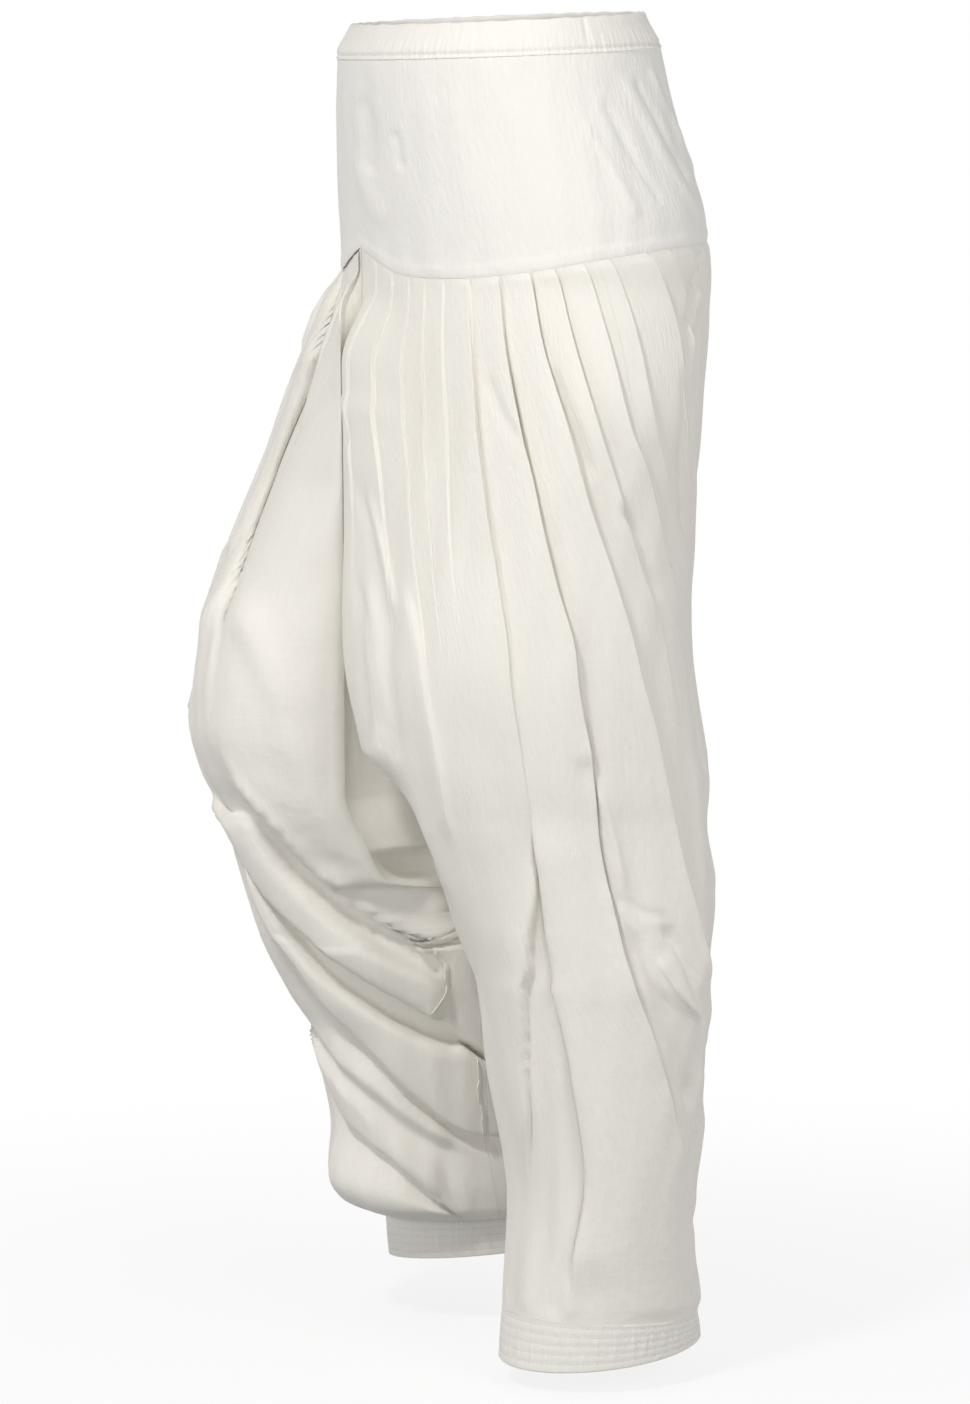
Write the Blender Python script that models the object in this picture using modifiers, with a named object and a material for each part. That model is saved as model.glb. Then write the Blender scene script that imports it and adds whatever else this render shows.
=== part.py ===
"""Patiala pants in off white cloth, in the hollow form they take when worn.

Metres, +Z up. The origin is the centre of the waist opening. The front is -Y
and the wearer's left is +X. Heights are given as drops below the waist. The
cloth hangs from a fitted yoke in knife pleats, dips to a low crotch as cowl
folds, and is gathered into a narrow cuff at each ankle. The right leg is
swung a little forward, so its hem hangs higher.
"""
import bpy
import numpy as np

# Cloth walls and the gap left at every seam
CLOTH_WALL = 0.0016
BAND_WALL = 0.003
SEAM_GAP = 0.0003
LEG_SEAM_GAP = 0.0006
CENTRE_CLEAR = 0.0004

# Heights, as drops below the waist
BAND_HEIGHT = 0.024
WAIST_TILT = 0.004
YOKE_DROP = 0.190
PLEAT_START = 0.016
SEAM_LEVELS_OUT = 0.11
SEAM_BAND = 0.003
SIDE_COLUMN = 1.2
CROTCH_DROP = 0.690

# Share of a pleat that falls back behind the fold edge before it
PLEAT_STEP = 0.16
PLEAT_MIDDLE = 0.58

# Folds: usual leg radius, steps along a fold's line, and the share that tapers out
LEG_RADIUS = 0.11
FOLD_STEPS = 25
FOLD_TAPER = 0.2

# Shares of a ring over which folds fade out at a seam, and for reading its direction
SEAM_FADE = 0.04
TANGENT_STEP = 0.002

# Columns of the mesh: a pleat that spreads wider than this share of the thigh gets
# a middle column, and a narrow column ends each panel square to its seam
THIGH_LEVEL = 0.455
WIDE_PLEAT = 0.05
END_COLUMN = 0.004

# Body rings, from the waist to the foot of the yoke
BODY_COLUMNS = ("drop", "centre_y", "half_width", "half_depth")
BODY = (
    (0.000, 0.0003, 0.136, 0.1000),
    (0.025, 0.001, 0.143, 0.1120),
    (0.060, 0.004, 0.150, 0.1165),
    (0.100, 0.010, 0.159, 0.1210),
    (0.150, 0.0185, 0.170, 0.1267),
    (0.190, 0.0209, 0.175, 0.1267),
)

# Drop of the yoke seam, by the angle round from the centre front
YOKE_SEAM_COLUMNS = ("angle", "drop")
YOKE_SEAM = (
    (0, 0.171), (10, 0.1804), (20, 0.1885), (32, 0.190), (62, 0.184),
    (79, 0.177), (105, 0.170), (140, 0.166), (180, 0.165),
)
# Angles at which yoke and leg edges share a corner, so that the seam stays even
SEAM_CORNERS = (0, 4, 8, 12, 17, 22, 28, 35, 43, 52, 61, 70, 80, 90, 100, 110, 120,
                130, 140, 150, 160, 170, 180)

# Rings of each leg. Above the crotch a ring is open, and ends at the centre seam
LEG_COLUMNS = ("drop", "centre_x", "centre_y", "half_width", "half_depth")
LEFT_RINGS = (
    (0.150, 0.000, 0.0185, 0.170, 0.1267),
    (0.190, 0.000, 0.0209, 0.175, 0.1267),
    (0.220, 0.009, 0.0175, 0.172, 0.1240),
    (0.280, 0.028, 0.008, 0.165, 0.1185),
    (0.370, 0.050, -0.0035, 0.150, 0.1203),
    (0.460, 0.075, -0.013, 0.130, 0.1244),
    (0.528, 0.085, -0.0067, 0.118, 0.126),
    (0.553, 0.087, 0.0060, 0.1145, 0.1150),
    (0.575, 0.089, 0.0140, 0.110, 0.1050),
    (0.614, 0.093, 0.0235, 0.105, 0.0955),
    (0.650, 0.0965, 0.0285, 0.1025, 0.0865),
    (0.690, 0.100, 0.0325, 0.100, 0.0800),
    (0.710, 0.102, 0.0355, 0.096, 0.0785),
    (0.755, 0.106, 0.035, 0.088, 0.0780),
    (0.858, 0.110, 0.036, 0.075, 0.066),
    (0.947, 0.112, 0.036, 0.062, 0.0735),
)
# The left leg's outer side hangs straighter than its front edge, which draws back.
# These depths hold there, and fade into the rings' own over two spans of angle
SIDE_COLUMNS = ("drop", "centre_y", "half_depth")
LEFT_SIDE_RINGS = (
    (0.150, 0.0185, 0.1267),
    (0.190, 0.0209, 0.1267),
    (0.220, 0.0175, 0.1240),
    (0.280, 0.0080, 0.1185),
    (0.370, -0.0035, 0.1203),
    (0.460, -0.0061, 0.1250),
    (0.528, 0.0039, 0.1265),
    (0.575, 0.0149, 0.1250),
    (0.614, 0.0236, 0.1190),
    (0.650, 0.0297, 0.1100),
    (0.690, 0.0338, 0.0994),
    (0.755, 0.0340, 0.0828),
    (0.858, 0.0360, 0.0660),
    (0.947, 0.0360, 0.0735),
)
SIDE_FROM = (-106, -70)
SIDE_UNTIL = (20, 60)
RIGHT_RINGS = (
    (0.150, 0.000, 0.0185, 0.170, 0.1267),
    (0.190, 0.000, 0.0209, 0.175, 0.1267),
    (0.250, 0.020, 0.008, 0.168, 0.130),
    (0.326, 0.042, -0.0045, 0.155, 0.139),
    (0.394, 0.060, -0.0235, 0.142, 0.145),
    (0.455, 0.073, -0.0413, 0.131, 0.152),
    (0.500, 0.081, -0.0516, 0.123, 0.152),
    (0.527, 0.085, -0.0538, 0.118, 0.152),
    (0.560, 0.089, -0.0499, 0.113, 0.147),
    (0.600, 0.092, -0.0403, 0.107, 0.135),
    (0.644, 0.097, -0.0358, 0.103, 0.123),
    (0.690, 0.100, -0.0306, 0.100, 0.112),
    (0.735, 0.104, -0.0177, 0.093, 0.101),
    (0.765, 0.106, -0.007, 0.088, 0.095),
    (0.800, 0.108, -0.0028, 0.083, 0.093),
    (0.840, 0.110, 0.0043, 0.079, 0.091),
    (0.880, 0.111, 0.0070, 0.077, 0.095),
    (0.898, 0.112, 0.0120, 0.0740, 0.0920),
    (0.908, 0.112, 0.0220, 0.0675, 0.0845),
    (0.915, 0.112, 0.0315, 0.060, 0.074),
)

# Depth of the centre seam, front and back, down to the crotch
CENTRE_SEAM_COLUMNS = ("drop", "front_y", "back_y")
CENTRE_SEAM = (
    (0.150, -0.1082, 0.1452), (0.190, -0.1058, 0.1476), (0.280, -0.107, 0.124),
    (0.370, -0.107, 0.103), (0.460, -0.103, 0.078), (0.530, -0.085, 0.054),
    (0.570, -0.066, 0.044), (0.610, -0.047, 0.032), (0.650, -0.027, 0.016),
    (0.675, -0.014, 0.003), (0.690, -0.005, -0.005),
)

# Depth of each inseam, from the crotch to the cuff
INSEAM_COLUMNS = ("drop", "seam_y")
LEFT_INSEAM = ((0.690, -0.005), (0.740, 0.006), (0.800, 0.020), (0.870, 0.031), (0.940, 0.036))
RIGHT_INSEAM = (
    (0.690, -0.005), (0.720, -0.009), (0.760, -0.006), (0.800, -0.002),
    (0.840, 0.004), (0.900, 0.017), (0.925, 0.032),
)

# Share of a ring over which its ends turn in to the seams
TURN_IN_COLUMNS = ("drop", "front", "back")
LEFT_TURN_IN = (
    (0.190, 0.05, 0.05), (0.300, 0.07, 0.08), (0.500, 0.10, 0.12),
    (0.600, 0.15, 0.18), (0.645, 0.20, 0.22), (0.690, 0.24, 0.25), (0.800, 0.25, 0.25),
)
RIGHT_TURN_IN = (
    (0.190, 0.05, 0.05), (0.300, 0.09, 0.08), (0.500, 0.11, 0.12),
    (0.600, 0.15, 0.16), (0.690, 0.22, 0.22), (0.800, 0.25, 0.25),
)

# Course of the cloth: where the threads that leave the yoke at these shares of
# its seam lie lower down, again as shares of the ring
LEFT_COURSE_START = (0.126, 0.195, 0.239, 0.292, 0.344, 0.436, 0.561, 0.760)
LEFT_COURSE = (
    (0.190, 0.126, 0.195, 0.239, 0.292, 0.344, 0.436, 0.561, 0.760),
    (0.235, 0.133, 0.203, 0.255, 0.310, 0.368, 0.474, 0.615, 0.785),
    (0.295, 0.153, 0.231, 0.285, 0.353, 0.422, 0.530, 0.665, 0.810),
    (0.335, 0.183, 0.253, 0.312, 0.387, 0.457, 0.583, 0.700, 0.830),
    (0.395, 0.222, 0.283, 0.349, 0.426, 0.508, 0.632, 0.745, 0.850),
    (0.455, 0.262, 0.318, 0.380, 0.461, 0.541, 0.690, 0.770, 0.868),
    (0.520, 0.282, 0.332, 0.392, 0.469, 0.556, 0.695, 0.775, 0.868),
    (0.600, 0.287, 0.335, 0.394, 0.460, 0.559, 0.690, 0.770, 0.865),
    (0.660, 0.276, 0.326, 0.386, 0.465, 0.580, 0.695, 0.770, 0.860),
    (0.745, 0.265, 0.322, 0.400, 0.513, 0.640, 0.715, 0.780, 0.865),
    (0.825, 0.258, 0.320, 0.407, 0.576, 0.680, 0.745, 0.800, 0.875),
    (0.900, 0.250, 0.310, 0.390, 0.648, 0.730, 0.780, 0.820, 0.885),
    (0.950, 0.245, 0.305, 0.385, 0.680, 0.750, 0.800, 0.840, 0.900),
)
RIGHT_COURSE_START = (0.070, 0.150, 0.250, 0.350, 0.500, 0.700)
RIGHT_COURSE = (
    (0.190, 0.070, 0.150, 0.250, 0.350, 0.500, 0.700),
    (0.235, 0.075, 0.155, 0.260, 0.365, 0.520, 0.710),
    (0.295, 0.088, 0.175, 0.285, 0.390, 0.540, 0.720),
    (0.350, 0.115, 0.210, 0.320, 0.420, 0.560, 0.730),
    (0.400, 0.120, 0.225, 0.335, 0.435, 0.565, 0.730),
    (0.455, 0.130, 0.240, 0.350, 0.445, 0.570, 0.730),
    (0.520, 0.140, 0.250, 0.355, 0.450, 0.570, 0.720),
    (0.600, 0.160, 0.260, 0.360, 0.450, 0.570, 0.710),
    (0.690, 0.190, 0.280, 0.370, 0.450, 0.560, 0.700),
    (0.800, 0.200, 0.290, 0.380, 0.460, 0.560, 0.700),
    (0.920, 0.200, 0.300, 0.390, 0.480, 0.580, 0.710),
)

# Knife pleats: place along the yoke seam, height of the fold edge, and the drop
# at which the pleat has died away
PLEAT_COLUMNS = ("place", "height", "ends")
LEFT_PLEATS = (
    (0.045, 0.0030, 0.46), (0.087, 0.0040, 0.52), (0.126, 0.0045, 0.64),
    (0.159, 0.0040, 0.48), (0.195, 0.0045, 0.62), (0.239, 0.0070, 1.10),
    (0.292, 0.0080, 1.10), (0.344, 0.0070, 0.74), (0.386, 0.0045, 0.46),
    (0.436, 0.0050, 0.52), (0.483, 0.0045, 0.42), (0.522, 0.0040, 0.40),
    (0.561, 0.0045, 0.42), (0.620, 0.0055, 0.66), (0.685, 0.0045, 0.50),
    (0.750, 0.0055, 0.74), (0.815, 0.0045, 0.52), (0.880, 0.0050, 0.64),
    (0.940, 0.0040, 0.50),
)
RIGHT_PLEATS = (
    (0.030, 0.0020, 0.34), (0.070, 0.0050, 0.52), (0.115, 0.0045, 0.44),
    (0.160, 0.0050, 0.58), (0.205, 0.0045, 0.46), (0.250, 0.0065, 0.80),
    (0.295, 0.0050, 0.52), (0.345, 0.0070, 0.86), (0.395, 0.0050, 0.50),
    (0.445, 0.0050, 0.60), (0.495, 0.0045, 0.46), (0.545, 0.0055, 0.72),
    (0.600, 0.0045, 0.50), (0.655, 0.0055, 0.66), (0.710, 0.0045, 0.50),
    (0.765, 0.0055, 0.70), (0.820, 0.0045, 0.48), (0.880, 0.0050, 0.60),
    (0.940, 0.0040, 0.46),
)

# Large folds: three points on each, as an angle round the leg (front -90, outer
# side 0, back 90, inseam 180 or -180) and a drop, then width and height
FOLD_COLUMNS = ("angle_1", "drop_1", "angle_2", "drop_2", "angle_3", "drop_3",
                "width", "height")
LEFT_FOLDS = (
    (-120, 0.560, -150, 0.630, -200, 0.690, 0.016, -0.006),
    (-110, 0.600, -140, 0.680, -200, 0.750, 0.018, 0.006),
    (-34, 0.620, -44, 0.700, -86, 0.820, 0.014, -0.005),
    (-38, 0.700, -36, 0.800, -38, 0.930, 0.020, 0.004),
    (60, 0.560, 100, 0.650, 170, 0.720, 0.018, -0.008),
    (50, 0.610, 95, 0.720, 170, 0.790, 0.018, 0.006),
    (40, 0.680, 80, 0.790, 150, 0.860, 0.016, -0.005),
    (10, 0.760, 40, 0.850, 80, 0.930, 0.016, 0.004),
)
RIGHT_FOLDS = (
    (-96, 0.440, -114, 0.520, -124, 0.630, 0.014, -0.007),
    (-82, 0.420, -100, 0.520, -104, 0.600, 0.016, 0.005),
    (-116, 0.575, -139, 0.646, -176, 0.690, 0.013, -0.010),
    (-98, 0.596, -130, 0.664, -172, 0.722, 0.016, 0.008),
    (-90, 0.611, -120, 0.702, -180, 0.776, 0.013, -0.009),
    (-94, 0.660, -120, 0.748, -170, 0.812, 0.016, 0.007),
    (-95, 0.680, -125, 0.775, -168, 0.845, 0.013, -0.008),
    (-92, 0.740, -116, 0.812, -150, 0.880, 0.015, 0.006),
    (-88, 0.796, -117, 0.838, -157, 0.909, 0.013, -0.006),
    (100, 0.560, 130, 0.650, 180, 0.700, 0.016, -0.009),
    (80, 0.610, 115, 0.700, 180, 0.760, 0.017, 0.007),
    (70, 0.650, 110, 0.750, 180, 0.810, 0.015, -0.007),
    (75, 0.730, 115, 0.810, 170, 0.860, 0.016, 0.006),
    (20, 0.700, 60, 0.800, 110, 0.880, 0.016, -0.004),
    (-40, 0.640, -20, 0.760, 20, 0.860, 0.018, -0.004),
)

# Levels at which each leg is cut into rings
LEFT_LEVELS = (0.190, 0.206, 0.245, 0.300, 0.360, 0.420, 0.475, 0.525, 0.570, 0.610,
               0.645, 0.672, 0.692, 0.720, 0.755, 0.795, 0.835, 0.875, 0.910, 0.941)
RIGHT_LEVELS = (0.190, 0.206, 0.245, 0.300, 0.360, 0.415, 0.465, 0.510, 0.550, 0.585,
                0.618, 0.648, 0.672, 0.692, 0.716, 0.742, 0.770, 0.798, 0.826, 0.856,
                0.880, 0.898, 0.908, 0.9147)

# Where the front and back panels meet, as a share of the yoke seam
LEFT_SIDE_SEAM = 0.4595
RIGHT_SIDE_SEAM = 0.470

# Cuffs: centre, half sizes at the top and at the hem, height, tilt of the hem
CUFF_COLUMNS = ("top_drop", "height", "centre_x", "centre_y", "half_width", "half_depth",
                "hem_half_width", "hem_half_depth", "tilt")
LEFT_CUFF = (0.941, 0.031, 0.112, 0.036, 0.0628, 0.0731, 0.0600, 0.0765, 0.009)
RIGHT_CUFF = (0.9147, 0.030, 0.112, 0.0314, 0.0602, 0.0742, 0.0570, 0.0720, 0.002)
CUFF_TILT_REACH = 0.09
CUFF_SIDES = 30
CUFF_ROWS = 2

YOKE_ROWS = 6
BAND_BULGE = 0.0016

# Colours as red, green, blue, with the roughness of the cloth
YOKE_CLOTH = ((0.86, 0.84, 0.78), 0.72)
LEG_CLOTH = ((0.84, 0.82, 0.76), 0.68)
BAND_CLOTH = ((0.88, 0.86, 0.80), 0.74)


def clear_scene():
    for item in list(bpy.data.objects):
        bpy.data.objects.remove(item)


def smooth_curve(places, values, wanted):
    """Monotone cubic through the values at the places, read where wanted."""
    places = np.asarray(places, float)
    values = np.asarray(values, float)
    steps = np.diff(places)
    slopes = np.diff(values) / steps
    tangents = np.zeros_like(values)
    tangents[0] = slopes[0]
    tangents[-1] = slopes[-1]
    for k in range(1, len(places) - 1):
        if slopes[k - 1] * slopes[k] > 0:
            near = 2 * steps[k] + steps[k - 1]
            far = steps[k] + 2 * steps[k - 1]
            tangents[k] = (near + far) / (near / slopes[k - 1] + far / slopes[k])
    wanted = np.clip(wanted, places[0], places[-1])
    k = np.clip(np.searchsorted(places, wanted, side="right") - 1, 0, len(steps) - 1)
    t = (wanted - places[k]) / steps[k]
    rise = steps[k] * (t * (1 - t) ** 2 * tangents[k] - t * t * (1 - t) * tangents[k + 1])
    return (1 + 2 * t) * (1 - t) ** 2 * values[k] + t * t * (3 - 2 * t) * values[k + 1] + rise


def read_table(table, columns, name, wanted):
    """One named column of a table, read at the wanted places in its first column."""
    places = [row[0] for row in table]
    values = [row[columns.index(name)] for row in table]
    return smooth_curve(places, values, wanted)


def ease(value):
    """0 below 0, 1 above 1, and smooth between."""
    value = np.clip(value, 0, 1)
    return value * value * (3 - 2 * value)


def yoke_seam_drop(angle):
    """Drop of the yoke seam at an angle in degrees round from the centre front."""
    corners = read_table(YOKE_SEAM, YOKE_SEAM_COLUMNS, "drop", np.array(SEAM_CORNERS))
    return np.interp(np.abs(angle), SEAM_CORNERS, corners)


LEFT = {
    "side": 1, "rings": LEFT_RINGS, "side_rings": LEFT_SIDE_RINGS,
    "inseam": LEFT_INSEAM, "turn_in": LEFT_TURN_IN,
    "course_start": LEFT_COURSE_START, "course": LEFT_COURSE, "pleats": LEFT_PLEATS,
    "folds": LEFT_FOLDS, "levels": LEFT_LEVELS, "side_seam": LEFT_SIDE_SEAM,
    "cuff": dict(zip(CUFF_COLUMNS, LEFT_CUFF)),
}
RIGHT = {
    "side": -1, "rings": RIGHT_RINGS, "side_rings": None,
    "inseam": RIGHT_INSEAM, "turn_in": RIGHT_TURN_IN,
    "course_start": RIGHT_COURSE_START, "course": RIGHT_COURSE, "pleats": RIGHT_PLEATS,
    "folds": RIGHT_FOLDS, "levels": RIGHT_LEVELS, "side_seam": RIGHT_SIDE_SEAM,
    "cuff": dict(zip(CUFF_COLUMNS, RIGHT_CUFF)),
}


def course_of(leg, level, places):
    """Shares of the ring at one level at which the threads from these places lie."""
    starts = (0,) + leg["course_start"] + (1,)
    drops = [row[0] for row in leg["course"]]
    shares = [0]
    for k in range(len(leg["course_start"])):
        shares.append(float(smooth_curve(drops, [row[k + 1] for row in leg["course"]], level)))
    shares.append(1)
    return smooth_curve(starts, shares, places)


def seam_ends(leg, drop):
    """Depth of the ring's two ends: the centre seam, and the inseam below it."""
    front = read_table(CENTRE_SEAM, CENTRE_SEAM_COLUMNS, "front_y", drop)
    back = read_table(CENTRE_SEAM, CENTRE_SEAM_COLUMNS, "back_y", drop)
    inseam = read_table(leg["inseam"], INSEAM_COLUMNS, "seam_y", drop)
    low = drop >= CROTCH_DROP
    return np.where(low, inseam, front), np.where(low, inseam, back)


def ring_point(leg, share, drop):
    """Place on the smooth leg, before its folds, and the angle round the leg."""
    size = {name: read_table(leg["rings"], LEG_COLUMNS, name, drop) for name in LEG_COLUMNS[1:]}
    reach = np.pi - np.arccos(np.clip(size["centre_x"] / size["half_width"], 0, 1))
    angle = reach * (2 * share - 1)
    if leg["side_rings"]:
        begun = ease((np.degrees(angle) - SIDE_FROM[0]) / (SIDE_FROM[1] - SIDE_FROM[0]))
        left = ease((SIDE_UNTIL[1] - np.degrees(angle)) / (SIDE_UNTIL[1] - SIDE_UNTIL[0]))
        for name in SIDE_COLUMNS[1:]:
            at_side = read_table(leg["side_rings"], SIDE_COLUMNS, name, drop)
            size[name] = size[name] + begun * left * (at_side - size[name])
    x = size["centre_x"] + size["half_width"] * np.cos(angle)
    y = size["centre_y"] + size["half_depth"] * np.sin(angle)
    end_depth = size["half_depth"] * np.sin(reach)
    front_end, back_end = seam_ends(leg, drop)
    front_turn = read_table(leg["turn_in"], TURN_IN_COLUMNS, "front", drop)
    back_turn = read_table(leg["turn_in"], TURN_IN_COLUMNS, "back", drop)
    near_front = np.clip(1 - share / front_turn, 0, 1) ** 2
    near_back = np.clip(1 - (1 - share) / back_turn, 0, 1) ** 2
    y = y + near_front * (front_end - size["centre_y"] + end_depth)
    y = y + near_back * (back_end - size["centre_y"] - end_depth)
    return np.stack([leg["side"] * x, y, -drop], -1), np.degrees(angle)


def pleat_height(leg, places, level):
    """Height of the knife pleats at these places along the yoke seam."""
    pleats = [dict(zip(PLEAT_COLUMNS, row)) for row in leg["pleats"]]
    begin = ease((level - YOKE_DROP) / PLEAT_START)
    height = np.zeros(np.broadcast(places, level).shape)
    last_place = 0.0
    last_edge = 0.0
    for pleat in pleats + [{"place": 1.0, "height": 0.0, "ends": 0.5}]:
        fade = 1 - ease((level - YOKE_DROP) / (pleat["ends"] - YOKE_DROP))
        edge = pleat["height"] * begin * fade
        phase = (places - last_place) / (pleat["place"] - last_place)
        inside = (phase > 0) & (phase <= 1)
        fall = last_edge * np.clip(1 - phase / PLEAT_STEP, 0, 1)
        rise = edge * np.clip((phase - PLEAT_STEP) / (1 - PLEAT_STEP), 0, 1)
        height = np.where(inside, fall + rise, height)
        last_place = pleat["place"]
        last_edge = edge
    return height


def fold_height(fold, angle, drop):
    """Height of one large fold, whose middle line runs through three points."""
    row = dict(zip(FOLD_COLUMNS, fold))
    metres = LEG_RADIUS * np.pi / 180
    nearest = np.full(angle.shape, np.inf)
    along = np.zeros(angle.shape)
    for t in np.linspace(0, 1, FOLD_STEPS):
        line_angle = row["angle_1"] * (1 - t) * (1 - 2 * t) + row["angle_3"] * t * (2 * t - 1)
        line_angle += row["angle_2"] * 4 * t * (1 - t)
        line_drop = row["drop_1"] * (1 - t) * (1 - 2 * t) + row["drop_3"] * t * (2 * t - 1)
        line_drop += row["drop_2"] * 4 * t * (1 - t)
        across = (angle - line_angle + 180) % 360 - 180
        distance = np.hypot(across * metres, drop - line_drop)
        along = np.where(distance < nearest, t, along)
        nearest = np.minimum(distance, nearest)
    ends = ease(along / FOLD_TAPER) * ease((1 - along) / FOLD_TAPER)
    return row["height"] * np.exp(-(nearest / row["width"]) ** 2) * ends


def leg_surface(leg, places, levels):
    """Outer face of a leg's cloth: a row of points for each level."""
    tilt_from = leg["cuff"]["top_drop"] - CUFF_TILT_REACH
    rows = []
    for level in levels:
        share = course_of(leg, level, places)
        _, angle = ring_point(leg, share, np.full_like(share, level))
        from_front = np.clip(90 + angle, 0, 180)
        toward_yoke = 1 - ease((level - YOKE_DROP) / SEAM_LEVELS_OUT)
        drop = level + toward_yoke * (yoke_seam_drop(from_front) - YOKE_DROP)
        tilt = leg["cuff"]["tilt"] * ease((level - tilt_from) / CUFF_TILT_REACH)
        drop = drop - tilt * np.sin(np.radians(angle))
        point, angle = ring_point(leg, share, drop)
        ahead, _ = ring_point(leg, np.clip(share + TANGENT_STEP, 0, 1), drop)
        behind, _ = ring_point(leg, np.clip(share - TANGENT_STEP, 0, 1), drop)
        along = ahead - behind
        outward = np.stack([along[:, 1], -along[:, 0]], -1) * leg["side"]
        outward /= np.linalg.norm(outward, axis=1)[:, None]
        height = pleat_height(leg, places, level)
        for fold in leg["folds"]:
            height = height + fold_height(fold, angle, drop)
        at_seam = ease(share / SEAM_FADE) * ease((1 - share) / SEAM_FADE)
        if level < CROTCH_DROP:
            height = height * at_seam
        point[:, :2] += outward * height[:, None]
        if level > CROTCH_DROP:
            point[[0, -1]] = (point[0] + point[-1]) / 2
        point[:, 0] = leg["side"] * np.maximum(leg["side"] * point[:, 0], CENTRE_CLEAR)
        rows.append(point)
    return np.array(rows)


def leg_columns(leg):
    """Places along the yoke seam: the foot and edge of each pleat, and a wide one's middle."""
    edges = np.array([0.0] + [row[0] for row in leg["pleats"]] + [1.0])
    spread = np.diff(course_of(leg, THIGH_LEVEL, edges))
    places = [0.0, END_COLUMN]
    for start, end, wide in zip(edges, edges[1:], spread):
        places.append(start + PLEAT_STEP * (end - start))
        if wide > WIDE_PLEAT:
            places.append(start + PLEAT_MIDDLE * (end - start))
        places.append(end)
    places.insert(-1, 1 - END_COLUMN)
    return np.array(places)


def cloth_material(name, cloth):
    colour, roughness = cloth
    material = bpy.data.materials.new(name)
    material.use_nodes = True
    shader = material.node_tree.nodes["Principled BSDF"]
    shader.inputs["Base Color"].default_value = (*colour, 1)
    shader.inputs["Roughness"].default_value = roughness
    shader.inputs["Metallic"].default_value = 0
    return material


def cloth_wall(name, rows, closed, wall, cloth, collection):
    """A sheet of cloth lofted through rows of points, given its wall inward."""
    count = len(rows[0])
    points = [tuple(point) for row in rows for point in row]
    faces = []
    for r in range(len(rows) - 1):
        for c in range(count if closed else count - 1):
            after = (c + 1) % count
            here = r * count
            below = here + count
            faces.append((here + c, below + c, below + after, here + after))
    mesh = bpy.data.meshes.new(name)
    mesh.from_pydata(points, [], faces)
    mesh.update()
    piece = bpy.data.objects.new(name, mesh)
    collection.objects.link(piece)
    solidify = piece.modifiers.new("Wall", "SOLIDIFY")
    solidify.thickness = wall
    solidify.offset = -1
    mesh.materials.append(cloth_material(name + "_cloth", cloth))
    mesh.shade_smooth()
    return piece


def body_ring(angles, drops):
    """Points round the body, at angles in degrees from the centre front."""
    size = {name: read_table(BODY, BODY_COLUMNS, name, drops) for name in BODY_COLUMNS[1:]}
    x = size["half_width"] * np.sin(np.radians(angles))
    y = size["centre_y"] - size["half_depth"] * np.cos(np.radians(angles))
    return np.stack([x, y, -drops], -1)


def half_angles(front):
    """Angles of one half of the body, a seam gap short of each side."""
    short = np.degrees(SEAM_GAP / 2 / BODY[0][2])
    corners = np.array(SEAM_CORNERS, float)
    if front:
        left = corners[corners < 90]
    else:
        left = 180 - corners[corners > 90][::-1]
    left = np.append(left, (90 - SIDE_COLUMN, 90 - short))
    turn = np.concatenate([-left[:0:-1], left])
    return turn if front else turn + 180


def build_waistband(name, front, collection):
    angles = half_angles(front)
    rows = []
    for share in np.linspace(0, 1, 4):
        drops = np.full_like(angles, BAND_HEIGHT * share)
        drops = drops + (1 - share) * WAIST_TILT * np.cos(np.radians(angles))
        ring = body_ring(angles, drops)
        bulge = BAND_BULGE * (0.4 + 4 * share * (1 - share))
        out = np.stack([np.sin(np.radians(angles)), -np.cos(np.radians(angles))], -1)
        ring[:, :2] += out * bulge
        rows.append(ring)
    return cloth_wall(name, rows, False, BAND_WALL, BAND_CLOTH, collection)


def build_yoke(name, front, collection):
    angles = half_angles(front)
    folded = np.where(angles > 180, 360 - angles, np.abs(angles))
    foot = yoke_seam_drop(folded) - SEAM_GAP / 2
    top = BAND_HEIGHT + SEAM_GAP
    rows = []
    for share in np.linspace(0, 1, YOKE_ROWS + 1):
        rows.append(body_ring(angles, top + share * (foot - top)))
    # the last few millimetres stand upright, so the walls meet square at the seam
    rows.insert(-1, rows[-1] + (0, 0, SEAM_BAND))
    return cloth_wall(name, rows, False, CLOTH_WALL, YOKE_CLOTH, collection)


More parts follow.
